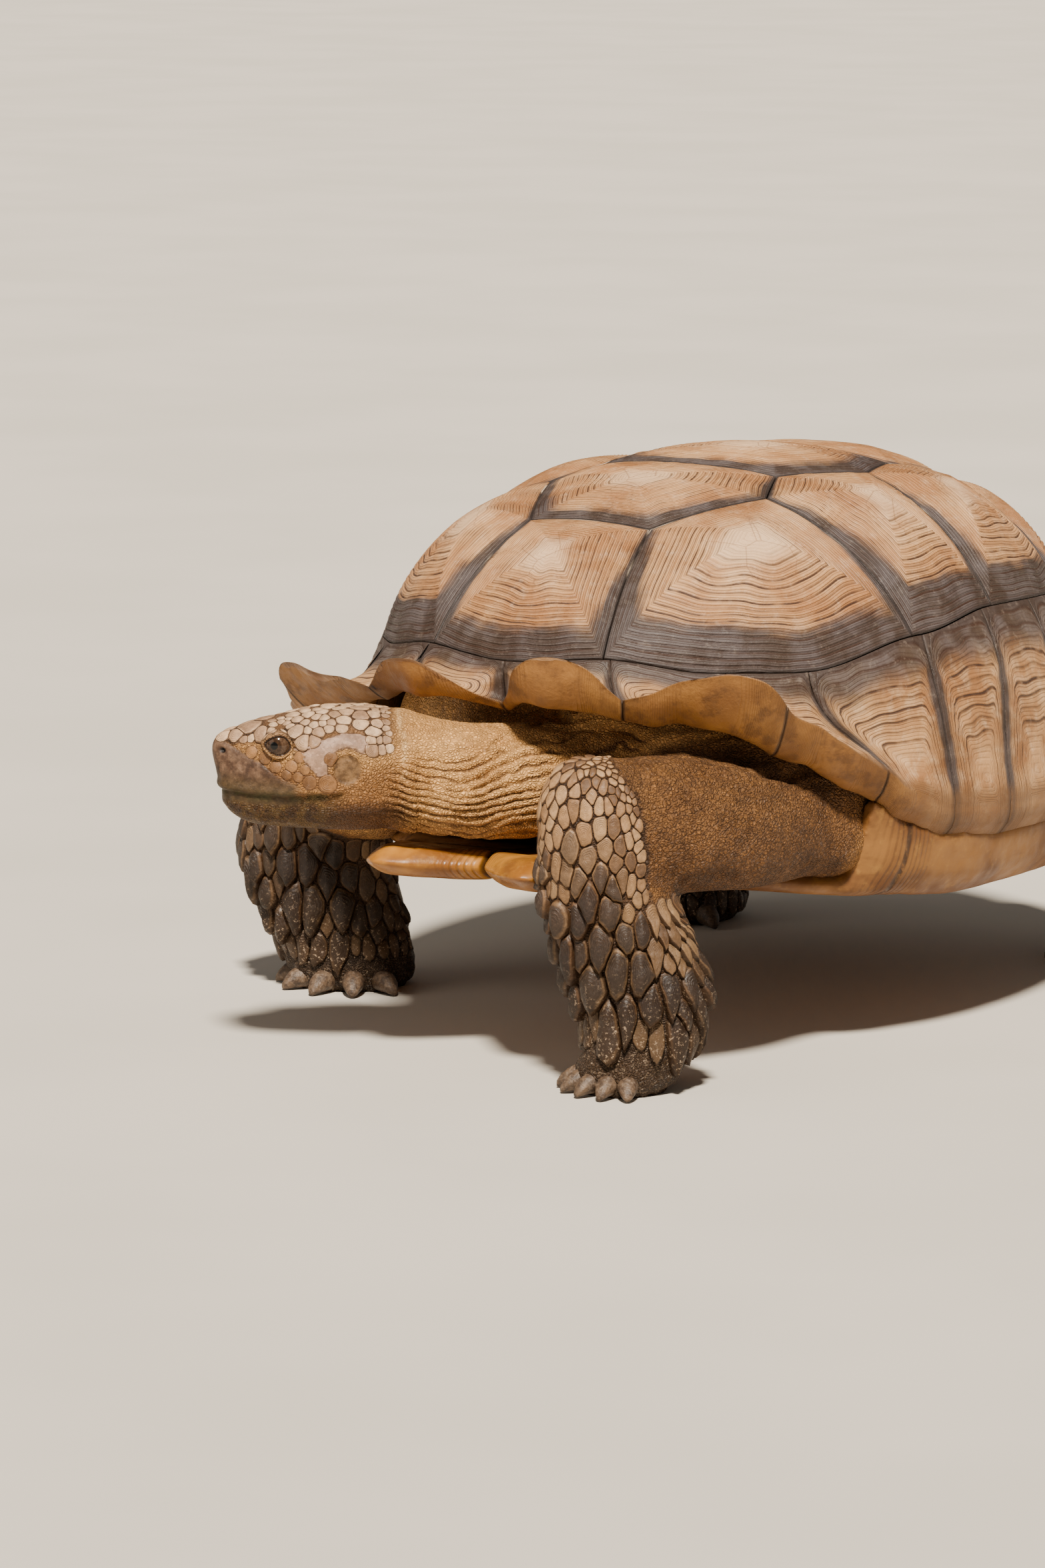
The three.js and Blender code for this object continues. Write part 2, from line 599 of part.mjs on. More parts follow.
const headStation = ([along, top, bottom, wide]) => {
  const p = HEAD.nape.clone().addScaledVector(headAhead, along);
  return [p.x, p.y, (top + bottom) / 2, wide, (top - bottom) / 2];
};
const onHead = (along, aside, height) =>
  HEAD.nape.clone().addScaledVector(headAhead, along).addScaledVector(headLeft, aside).setZ(height);

const NECK_FORM = [
  [36, -150, 186, 66, 50], [32, -225, 186, 60, 46], [14, -266, 188, 50, 40], [-17, -305, 189, 42, 39.5],
  [-42, -321, 193, 40, 39.5],
];
const neckAndHead = tube([...NECK_FORM, ...HEAD_FORM.map(headStation)], headLeft, 16, 2.4);
const eyeBall = new THREE.SphereGeometry(EYE.radius - 0.5, 12, 7);
const eyeAt = (side) => onHead(EYE.along, side * EYE.aside, EYE.height);
const socket = (side) => wasm.Manifold.sphere(EYE.radius + GAP, 12).translate(eyeAt(side).toArray());

// A block in the head's own directions: from the nape's side, along, and up.
function headBlock(from, to, bottom, top) {
  const box = new THREE.BoxGeometry(160, to - from, top - bottom);
  box.rotateZ(rad(HEAD.turn));
  const middle = onHead((from + to) / 2, 0, (top + bottom) / 2);
  box.translate(middle.x, middle.y, middle.z);
  return toSolid(box);
}

// ---------------------------------------------------------------- legs and tail
const FORELEG_LEFT = [
  [101, -337, 221, 16, 14], [102, -336, 213, 30, 26], [104, -334, 198, 40, 33],
  [104.5, -333, 177, 43.5, 36], [106.5, -332, 150, 42.5, 35], [109, -330.5, 128, 43, 34],
  [116, -326, 107, 46, 34], [120, -323.5, 93, 47, 34], [126, -320, 70, 45, 34],
  [128.5, -318, 50, 41.5, 34], [126, -319.5, 28, 37, 34], [122, -322, 12, 36, 38],
  [119, -324, 0, 32, 35],
];
const ARM_LEFT = [
  [138, -120, 158, 42, 38], [152, -188, 160, 42, 40], [150, -240, 166, 42, 44], [134, -288, 173, 42, 46],
  [116, -318, 180, 37, 42], [104, -334, 185, 27, 32],
];
const FORELEG_RIGHT = [
  [-244, -158, 168, 20, 18], [-246, -157, 160, 36, 30], [-251, -153, 144, 48, 39],
  [-256, -149, 119, 54, 41], [-256, -147, 90, 55, 40], [-252, -144, 66, 53, 39],
  [-244, -139, 41, 50, 38], [-237, -134, 18, 47, 38], [-235, -133, 0, 44, 38],
];
const ARM_RIGHT = [
  [-146, -136, 141, 40, 28], [-182, -164, 141, 42, 29], [-214, -168, 140, 40, 27],
  [-240, -156, 136, 32, 24],
];
const hindLeg = (side, y) => [
  [side * 170, y - 20, 152, 22, 26], [side * 172, y - 16, 143, 36, 42], [side * 178, y - 6, 122, 44, 50],
  [side * 181, y, 96, 44, 47], [side * 180, y + 5, 62, 42, 42], [side * 180, y + 4, 32, 43, 42],
  [side * 180, y, 12, 46, 46], [side * 180, y - 2, 0, 43, 43],
];
const thigh = (side, y) => [
  [side * 112, y - 70, 142, 40, 26], [side * 144, y - 40, 136, 42, 28], [side * 176, y - 14, 122, 34, 26],
];
const TAIL_FORM = [
  [0, 205, 134, 34, 24], [3, 252, 128, 28, 20], [10, 284, 116, 20, 16], [24, 302, 100, 13, 11],
  [38, 306, 88, 7, 6],
];
const LEVEL = V(1, 0, 0);
const FORE_SIDE = V(0.848, 0.53, 0); // the broad face of the forelegs looks out and ahead

const limbs = {
  fore_left: wasm.Manifold.union([
    tube(ARM_LEFT, V(0.85, 0.5, 0)), leg(FORELEG_LEFT, FORE_SIDE), ...clawFan(121, -323, -14, 31, 7, 5, 46),
  ]),
  fore_right: wasm.Manifold.union([
    tube(ARM_RIGHT, V(0.3, -0.95, 0)), leg(FORELEG_RIGHT, FORE_SIDE), ...clawFan(-235, -133, 2, 41, 7.5, 5),
  ]),
};
for (const [name, side, y] of [["hind_left", 1, 262], ["hind_right", -1, 222]])
  limbs[name] = wasm.Manifold.union([
    tube(thigh(side, y), V(0, 1, 0)),
    leg(hindLeg(side, y), LEVEL),
    ...clawFan(side * 180, y - 2, side * 8, 46, 8, 4),
  ]);

// Parts a limb at a level: what is above is the leg, what is below the foot.
function partAt(solid, height) {
  return [
    mainBody(solid.trimByPlane([0, 0, 1], height + CUT / 2)),
    mainBody(solid.trimByPlane([0, 0, -1], -height + CUT / 2)),
  ];
}
const ANKLE = 46;
for (const [name, solid] of Object.entries(limbs)) {
  const [kind, side] = name.split("_");
  const [upper, foot] = partAt(mainBody(solid.subtract(room)), ANKLE);
  place(`${kind}leg_${side}`, toGeometry(upper), MATERIAL.skin);
  place(`${kind}foot_${side}`, toGeometry(foot), MATERIAL.skin);
}
place("tail", toGeometry(mainBody(tube(TAIL_FORM, LEVEL, 10, 2).subtract(room))), MATERIAL.skin);

let head = neckAndHead.subtract(room).subtract(socket(1)).subtract(socket(-1));
head = mainBody(head.subtract(roomOf(toGeometry(limbs.fore_left), GAP)));
const jawSpace = headBlock(HEAD.mouthCorner, 150, 100, HEAD.mouth);
const jawFit = headBlock(HEAD.mouthCorner + CUT, 150, 100, HEAD.mouth - CUT);
place("lower_jaw", toGeometry(mainBody(head.intersect(jawFit))), MATERIAL.skin);
const napePlane = (share) => headAhead.dot(HEAD.nape) + share;
const skull = head.subtract(jawSpace).trimByPlane(headAhead.toArray(), napePlane(CUT / 2));
const nape = head.trimByPlane(headAhead.clone().negate().toArray(), -napePlane(-CUT / 2));
place("head", toGeometry(mainBody(skull)), MATERIAL.skin);
place("neck", toGeometry(mainBody(nape)), MATERIAL.skin);
for (const [name, side] of [["eye_left", 1], ["eye_right", -1]]) {
  const ball = eyeBall.clone();
  ball.translate(...eyeAt(side).toArray());
  place(name, ball, MATERIAL.eye);
}

// The centre of the base becomes the origin.
const bounds = new THREE.Box3().setFromObject(tortoise);
const centre = bounds.getCenter(V(0, 0, 0));
for (const mesh of tortoise.children) mesh.geometry.translate(-centre.x, -centre.y, -bounds.min.z);

export default tortoise;
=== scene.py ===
# %% [markdown]
# # A spurred tortoise, life size
#
# An old male African spurred tortoise stands in mid stride with its head turned to one side.
# The shell is a high dome of horn plates, each with the growth rings of a lifetime. Its front
# edge plates curl up like roof tiles, and tough scaled legs carry the whole.
#
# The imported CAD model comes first. It holds the size and place of every part, so the pieces
# made here only have to be finer and better looking than its plain facets.

# %% Load the frame
import math

import bmesh
import bpy
import numpy as np
from mathutils import Matrix, Vector, bvhtree, kdtree, noise


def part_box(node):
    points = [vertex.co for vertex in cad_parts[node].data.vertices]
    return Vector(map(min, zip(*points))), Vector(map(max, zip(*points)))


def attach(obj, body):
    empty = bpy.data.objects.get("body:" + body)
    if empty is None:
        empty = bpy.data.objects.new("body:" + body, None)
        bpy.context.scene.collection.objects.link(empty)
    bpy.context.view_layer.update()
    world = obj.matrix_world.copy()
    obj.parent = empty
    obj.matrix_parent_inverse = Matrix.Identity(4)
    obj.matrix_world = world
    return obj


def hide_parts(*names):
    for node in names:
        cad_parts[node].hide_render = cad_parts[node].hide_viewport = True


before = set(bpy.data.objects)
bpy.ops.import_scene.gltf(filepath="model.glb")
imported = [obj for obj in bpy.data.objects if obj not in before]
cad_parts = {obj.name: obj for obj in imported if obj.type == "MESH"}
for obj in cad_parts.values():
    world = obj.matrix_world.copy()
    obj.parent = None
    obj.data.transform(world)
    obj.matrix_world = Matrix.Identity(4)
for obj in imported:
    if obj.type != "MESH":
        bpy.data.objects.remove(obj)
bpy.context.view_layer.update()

# %% [markdown]
# The shell was drawn about its own middle, but the frame's origin is under the centre of the
# whole animal. The middle of the shell is found from two plain facts: the third plate of the
# back is symmetric, and the belly plate ends 282 mm behind the middle. From here on shapes are
# worked out in millimetres about that middle, and one helper brings them into the frame.

# %% The middle of the shell
MM = 0.001
BELLY_END = 282
back_low, back_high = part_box("vertebral_3")
belly_low, belly_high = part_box("plastron")
middle = np.array([(back_low[0] + back_high[0]) / 2, belly_high[1] - BELLY_END * MM, 0.0])
print("middle of the shell:", middle.round(4))


def to_frame(points):
    """Millimetres about the middle of the shell, brought to metres in the frame."""
    return np.asarray(points, dtype=float) * MM + middle


def from_frame(points):
    """Metres in the frame, brought to millimetres about the middle of the shell."""
    return (np.asarray(points, dtype=float) - middle) / MM


# %% Small helpers for curves and noise
def ease(t):
    """A smooth step from 0 to 1."""
    t = np.clip(t, 0.0, 1.0)
    return t * t * (3 - 2 * t)


def step_between(low, high, value):
    """0 below low, 1 above high, smooth between them."""
    return ease((np.asarray(value, dtype=float) - low) / (high - low))


def keyed(keys, places):
    """Values at places of a curve given as (place, value) keys, eased between keys."""
    places = np.atleast_1d(np.asarray(places, dtype=float))
    at = np.array([key[0] for key in keys], dtype=float)
    value = np.array([key[1] for key in keys], dtype=float)
    i = np.clip(np.searchsorted(at, places) - 1, 0, len(at) - 2)
    return value[i] + (value[i + 1] - value[i]) * ease((places - at[i]) / (at[i + 1] - at[i]))


def lumps(points, size, seed=0.0):
    """Smooth noise of about -1 to 1, with lumps of that size in millimetres."""
    scaled = np.asarray(points, dtype=float) / size + seed
    return np.array([noise.noise(p) for p in scaled])


def unit(vectors):
    """The same directions with a length of one."""
    return vectors / np.maximum(np.linalg.norm(vectors, axis=-1, keepdims=True), 1e-9)


# %% Helpers for meshes
def coordinates(mesh):
    """The points of a mesh as an array."""
    flat = np.empty(len(mesh.vertices) * 3)
    mesh.vertices.foreach_get("co", flat)
    return flat.reshape(-1, 3)


def move_to(mesh, points):
    """Puts the points of a mesh in new places."""
    mesh.vertices.foreach_set("co", np.asarray(points, dtype=float).ravel())
    mesh.update()


def normals(mesh):
    """The normals at the points of a mesh as an array."""
    flat = np.empty(len(mesh.vertices) * 3)
    mesh.vertex_normals.foreach_get("vector", flat)
    return flat.reshape(-1, 3)


def store(mesh, name, values):
    """Keeps one number per point for the materials to read."""
    layer = mesh.attributes.get(name) or mesh.attributes.new(name, "FLOAT", "POINT")
    layer.data.foreach_set("value", np.asarray(values, dtype=np.float32))


def mesh_from(bm, name):
    """A mesh from a bmesh, smooth shaded."""
    mesh = bpy.data.meshes.new(name)
    bm.to_mesh(mesh)
    bm.free()
    mesh.shade_smooth()
    return mesh


def finish_piece(name, mesh, material, slot, *nodes):
    """Adds the piece to the scene, dresses it and lets it stand for its CAD nodes."""
    piece = bpy.data.objects.new(name, mesh)
    bpy.context.scene.collection.objects.link(piece)
    mesh.materials.clear()
    mesh.materials.append(material)
    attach(piece, "root")
    if nodes:
        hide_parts(*nodes)
    return piece


# %% [markdown]
# Materials are built from a few node helpers, so that each recipe below reads as a list of
# layers: a base tone, then lines, stains and dust mixed over it.

# %% Helpers for materials
class Paint:
    """One material under construction."""

    def __init__(self, name, roughness, specular=0.35, deepen=1.0):
        self.deepen = deepen  # above 1, dark tones grow darker and all tones richer
        self.material = bpy.data.materials.new(name)
        self.material.use_nodes = True
        self.tree = self.material.node_tree
        self.shader = self.tree.nodes["Principled BSDF"]
        self.shader.inputs["Roughness"].default_value = roughness
        self.shader.inputs["Specular IOR Level"].default_value = specular
        self.place = self.tree.nodes.new("ShaderNodeTexCoord").outputs["Object"]

    def set_input(self, socket, value):
        if isinstance(value, bpy.types.NodeSocket):
            self.tree.links.new(value, socket)
        elif isinstance(value, tuple) and len(value) == 3 and socket.type == "RGBA":
            socket.default_value = (*value, 1)
        else:
            socket.default_value = value

    def attribute(self, name):
        """A number stored on the mesh."""
        node = self.tree.nodes.new("ShaderNodeAttribute")
        node.attribute_name = name
        return node.outputs["Fac"]

    def math(self, operation, a, b=0.5, c=0.5):
        node = self.tree.nodes.new("ShaderNodeMath")
        node.operation = operation
        for socket, value in zip(node.inputs, (a, b, c)):
            self.set_input(socket, value)
        return node.outputs[0]

    def span(self, value, low, high, out_low=0.0, out_high=1.0):
        """Maps low..high smoothly to out_low..out_high."""
        node = self.tree.nodes.new("ShaderNodeMapRange")
        node.interpolation_type = "SMOOTHSTEP"
        for socket, number in zip(node.inputs, (value, low, high, out_low, out_high)):
            self.set_input(socket, number)
        return node.outputs[0]

    def stretched(self, x, y, z):
        """Object coordinates with each axis scaled."""
        node = self.tree.nodes.new("ShaderNodeMapping")
        self.set_input(node.inputs["Vector"], self.place)
        node.inputs["Scale"].default_value = (x, y, z)
        return node.outputs[0]

    def clouds(self, size, detail=3.0, rough=0.5, vector=None):
        """Noise from 0 to 1 with clouds of about that size in metres."""
        node = self.tree.nodes.new("ShaderNodeTexNoise")
        self.set_input(node.inputs["Vector"], vector or self.place)
        node.inputs["Scale"].default_value = 1 / size
        node.inputs["Detail"].default_value = detail
        node.inputs["Roughness"].default_value = rough
        return node.outputs["Fac"]

    def cells(self, size, feature="F1", vector=None, output="Distance"):
        """Distances in a pattern of cells of about that size in metres."""
        node = self.tree.nodes.new("ShaderNodeTexVoronoi")
        node.feature = feature
        self.set_input(node.inputs["Vector"], vector or self.place)
        node.inputs["Scale"].default_value = 1 / size
        return node.outputs[output]

    def mix(self, share, a, b):
        """Colour a where share is 0 and b where it is 1."""
        node = self.tree.nodes.new("ShaderNodeMix")
        node.data_type = "RGBA"
        self.set_input(node.inputs["Factor"], share)
        self.set_input(node.inputs[6], a)
        self.set_input(node.inputs[7], b)
        return node.outputs[2]

    def shade(self, colour, factor):
        """The colour multiplied by a number."""
        node = self.tree.nodes.new("ShaderNodeVectorMath")
        node.operation = "SCALE"
        self.set_input(node.inputs[0], colour)
        self.set_input(node.inputs["Scale"], factor)
        return node.outputs[0]

    def finish(self, colour, height=None, depth=0.001, roughness=None, strength=1.0):
        """Links the colour, the roughness and a relief of that depth in metres."""
        if self.deepen != 1.0:
            node = self.tree.nodes.new("ShaderNodeGamma")
            self.set_input(node.inputs["Color"], colour)
            node.inputs["Gamma"].default_value = self.deepen
            colour = node.outputs[0]
        self.set_input(self.shader.inputs["Base Color"], colour)
        if roughness is not None:
            self.set_input(self.shader.inputs["Roughness"], roughness)
        if height is not None:
            bump = self.tree.nodes.new("ShaderNodeBump")
            bump.inputs["Distance"].default_value = depth
            bump.inputs["Strength"].default_value = strength
            self.set_input(bump.inputs["Height"], height)
            self.tree.links.new(bump.outputs[0], self.shader.inputs["Normal"])
        return self.material


# %% [markdown]
# ## The dome
#
# A tortoise's shell is close to a squared-off ellipsoid. Here the dome is a formula over a
# disc: the direction on the disc is the compass direction from the middle of the back, and the
# distance runs from the top, 0, to the rim, 1. Plates can then be drawn flat on the disc and
# lifted onto the dome, which keeps their seams true to the CAD.

# %% The dome's formula
HALF_WIDTH, FRONT, REAR = 235.5, 318, 310
RIM_LEVEL, RISE = 168, 221.5
PLAN_POWER, ARCH_POWER = 2.1, 2.39
PLATE_THICK, SUNK = 5, 4.5


def plan(direction):
    """The plan outline's point in each direction (unit vectors on the disc)."""
    c, s = direction[..., 0], direction[..., 1]
    k = (np.abs(c) ** PLAN_POWER + np.abs(s) ** PLAN_POWER) ** (-1 / PLAN_POWER)
    return np.stack([HALF_WIDTH * k * c, np.where(s < 0, FRONT, REAR) * k * s], axis=-1)


def dome(q):
    """Points of the dome, in millimetres, for points q of the disc."""
    r = np.linalg.norm(q, axis=-1)
    xy = plan(q / np.maximum(r, 1e-9)[..., None])
    a = r * math.pi / 2
    out = np.sin(a) ** (2 / ARCH_POWER)
    up = np.maximum(np.cos(a), 0) ** (2 / ARCH_POWER)
    return np.concatenate([xy * out[..., None], (RIM_LEVEL + RISE * up)[..., None]], axis=-1)


def dome_normal(q):
    """Outward normals of the dome at points q of the disc."""
    e = 0.012
    dx = dome(q + [e, 0]) - dome(q - [e, 0])
    dy = dome(q + [0, e]) - dome(q - [0, e])
    n = unit(np.cross(dx, dy))
    return n * np.where(n[..., 2:] < 0, -1, 1)


def heading(degrees):
    """Compass angle from the head towards the animal's left, as a disc direction."""
    a = np.radians(degrees)
    return np.stack([np.sin(a), -np.cos(a)], axis=-1)


# %% [markdown]
# Rings drawn on the disc would crowd near the top of the dome, where the disc is stretched
# most. So rings are drawn on an unrolled disc instead, whose distances are true arc lengths
# from the top of the back down to the rim.

# %% Unroll the dome
radii = np.linspace(0, 1, 400)
arch_width = (HALF_WIDTH + FRONT) / 2
profile = np.stack(
    [
        arch_width * np.sin(radii * math.pi / 2) ** (2 / ARCH_POWER),
        RISE * np.maximum(np.cos(radii * math.pi / 2), 0) ** (2 / ARCH_POWER),
    ],
    axis=-1,
)
arc_length = np.concatenate([[0], np.cumsum(np.linalg.norm(np.diff(profile, axis=0), axis=1))])
print("arc from the top to the rim:", round(arc_length[-1]), "mm")


def unroll(q):
    r = np.linalg.norm(q, axis=-1, keepdims=True)
    return q / np.maximum(r, 1e-9) * np.interp(r, radii, arc_length)


def roll_up(w):
    r = np.linalg.norm(w, axis=-1, keepdims=True)
    return w / np.maximum(r, 1e-9) * np.interp(r, arc_length, radii)


# %% Seams of the plates
EDGE_START = [
    (0, 0.73), (19, 0.715), (38, 0.745), (52, 0.752), (72, 0.7), (90, 0.665), (120, 0.68), (152, 0.725),
    (180, 0.745),
]
V12, C12, V23, C23 = (0.128, -0.364), (0.214, -0.182), (0.158, -0.1), (0.222, 0.035)
V34, C34, V45 = (0.18, 0.13), (0.225, 0.27), (0.14, 0.43)
HEAD_V1, HEAD_C12, HEAD_C23, HEAD_C34, HEAD_V5 = 18.7, 71, 91, 119, 152


def edge_run(start, end):
    """The seam between big plates and edge plates, a point every degree."""
    steps = int(abs(end - start)) + 1
    angles = np.linspace(start, end, steps + 1)
    r = keyed(EDGE_START, np.abs((angles + 180) % 360 - 180))
    return [tuple(p) for p in heading(angles) * r[:, None]]


def mirrored(points):
    return [(-x, y) for x, y in points]


def both_sides(left):
    return [*left, *reversed(mirrored(left))]


# Each big plate: name, outline on the disc, areola on the disc, rise of the areola.
BIG_PLATES = [
    ("vertebral_1", [*edge_run(-HEAD_V1, HEAD_V1), V12, *mirrored([V12])], (0, -0.48), 8),
    ("vertebral_2", both_sides([V12, C12, V23]), (0, -0.22), 5),
    ("vertebral_3", both_sides([V23, C23, V34]), (0, 0.03), 4),
    ("vertebral_4", both_sides([V34, C34, V45]), (0, 0.3), 8),
    ("vertebral_5", [*mirrored([V45]), V45, *edge_run(HEAD_V5, 360 - HEAD_V5)], (0, 0.52), 9),
]
COSTALS = [
    ([V12, *edge_run(HEAD_V1, HEAD_C12), C12], (0.3, -0.31), 8),
    ([C12, *edge_run(HEAD_C12, HEAD_C23), C23, V23], (0.33, -0.06), 8),
    ([C23, *edge_run(HEAD_C23, HEAD_C34), C34, V34], (0.33, 0.15), 8),
    ([C34, *edge_run(HEAD_C34, HEAD_V5), V45], (0.3, 0.36), 8),
]
for number, (outline, areola, rise) in enumerate(COSTALS, 1):
    BIG_PLATES.append((f"costal_left_{number}", outline, areola, rise))
    BIG_PLATES.append((f"costal_right_{number}", mirrored(outline), (-areola[0], areola[1]), rise))
print(len(BIG_PLATES), "plates on the dome")

# %% [markdown]
# ## The big plates
#
# Each year a plate grows a new, larger ring of horn under the old ones, so it is terraced:
# every ring is the plate's own outline drawn smaller round the areola, the plate it hatched
# with. Extruding the outline inwards again and again, a little smaller each time, lays the
# mesh along those rings. It is modelled flat, with the ring's place kept as height for the
# moment: 1 at the seam, 0 at the areola. Then the sheet is bent onto the dome and the terraces
# are cut. A texture alone would leave the outline of the shell smooth, where the real one is
# finely stepped.

# %% Model a plate flat
SEAM_STEP = 4.0  # spacing of points round a plate, in millimetres
GROWTH_RINGS = 17
STEPS_PER_RING = 5
RING_CROWDING = 1.35  # above 1, rings crowd towards the seam
SEAM_GAP = 0.35  # half of the gap between plates, in millimetres


def along_outline(outline):
    """Points round a closed outline of the disc, evenly spaced on the dome."""
    corners = np.array(outline)
    points = []
    for a, b in zip(corners, np.roll(corners, -1, axis=0)):
        length = np.linalg.norm(dome(a) - dome(b))
        parts = max(1, round(length / SEAM_STEP))
        points.extend(a + (b - a) * k / parts for k in range(parts))
    return unroll(np.array(points))


def ring_places():
    """Places of the rings from the seam, 1, inwards."""
    count = GROWTH_RINGS * STEPS_PER_RING
    return (1 - np.arange(1, count) / count) ** (1 / RING_CROWDING)


def flat_plate(outline, areola):
    """Rings of the plate on the unrolled disc; height is the ring's place, 2 for the under face."""
    centre = unroll(np.array([areola]))[0]
    rim = along_outline(outline)
    reach = np.linalg.norm(rim - centre, axis=1).min()
    rim = centre + (rim - centre) * (1 - SEAM_GAP / reach)
    bm = bmesh.new()
    points = [bm.verts.new((x, y, 1)) for x, y in rim]
    edges = [bm.edges.new((a, b)) for a, b in zip(points, points[1:] + points[:1])]
    under = bmesh.ops.extrude_edge_only(bm, edges=edges)["geom"]
    low = [part for part in under if isinstance(part, bmesh.types.BMVert)]
    bmesh.ops.translate(bm, vec=(0, 0, 1), verts=low)
    bmesh.ops.contextual_create(bm, geom=[part for part in under if isinstance(part, bmesh.types.BMEdge)])
    about = Matrix.Translation((-centre[0], -centre[1], 0))
    place = 1.0
    for smaller in ring_places():
        grown = bmesh.ops.extrude_edge_only(bm, edges=edges)["geom"]
        points = [part for part in grown if isinstance(part, bmesh.types.BMVert)]
        edges = [part for part in grown if isinstance(part, bmesh.types.BMEdge)]
        share = smaller / place
        bmesh.ops.scale(bm, vec=(share, share, 1), space=about, verts=points)
        bmesh.ops.translate(bm, vec=(0, 0, smaller - place), verts=points)
        place = smaller
    bmesh.ops.pointmerge(bm, verts=points, merge_co=(centre[0], centre[1], 0))
    bmesh.ops.recalc_face_normals(bm, faces=bm.faces)
    return bm, centre


# %% [markdown]
# The relief has three parts. The plate as a whole rises a few millimetres from its seams to
# its areola. Each growth ring is a rounded step with a narrow groove below it, strong at the
# edges and worn away on the areola. And slow ripples make the rings wander together, as they
# do on an old shell.

# %% Bend a plate onto the dome
GROOVE_DEPTH = 1.9
RIPPLE_DEPTH = 0.9
WANDER = 0.5  # how far rings wander, in rings


def groove(growth, width=0.2):
    """1 in the groove between two growth rings, 0 on the ring."""
    return np.exp(-((np.mod(growth, 1) - 0.5) / width) ** 2)


def bend_plate(mesh, centre, rise, seed):
    flat = coordinates(mesh)
    w, place = flat[:, :2], flat[:, 2]
    under = place > 1.5
    place = np.where(under, 1, place)
    q = roll_up(w)
    surface, outward = dome(q), dome_normal(q)
    direction = unit(w - centre)
    fans = lumps(np.column_stack([direction * 2.2, place * 1.4]), 1, seed)
    growth = GROWTH_RINGS * place**RING_CROWDING + WANDER * (fans + lumps(surface, 26, seed)) * ease(place * 3)
    worn = step_between(0.1, 0.34, place + 0.12 * lumps(surface, 30, seed + 5))
    strength = worn * (0.62 + 0.38 * lumps(surface, 19, seed + 9)) * step_between(1.0, 0.965, place)
    ripple = lumps(np.column_stack([direction * 5, place]), 1, seed + 3) * step_between(0.35, 0.8, place)
    lift = rise * (1 - place**2.2) - SUNK
    lift -= GROOVE_DEPTH * strength * groove(growth)
    lift += RIPPLE_DEPTH * ripple * step_between(1.0, 0.93, place)
    lift = np.where(under, -SUNK - PLATE_THICK, lift)
    move_to(mesh, to_frame(surface + outward * lift[:, None]))
    rimward = (np.linalg.norm(w, axis=1) - np.linalg.norm(centre)) / 90
    forward = (centre[1] - w[:, 1]) / 90
    for name, values in (("place", place), ("growth", growth), ("rimward", rimward), ("forward", forward)):
        store(mesh, name, values)
    store(mesh, "under", under)

# %% [markdown]
# The horn is cream to tan where old rings are worn, orange-brown between, and blue-grey to
# charcoal where the last years grew along the seams, widest towards the rim. Every groove holds
# a dark line, partly the horn's own and partly painted shade under the ring's ledge, and pale
# dust lies over it in patches. The mesh carries the ring's place and number, so the lines follow
# the modelled terraces exactly.

# %% Horn of the big plates
CREAM, TAN, RUST = (0.7, 0.5, 0.325), (0.57, 0.335, 0.165), (0.4, 0.195, 0.08)
# the brown for the grooves: partly the horn's own growth lines, partly painted shade under each ring's ledge
CHARCOAL, SLATE, GROOVE_SHADE_BROWN = (0.036, 0.029, 0.028), (0.088, 0.08, 0.086), (0.06, 0.028, 0.016)


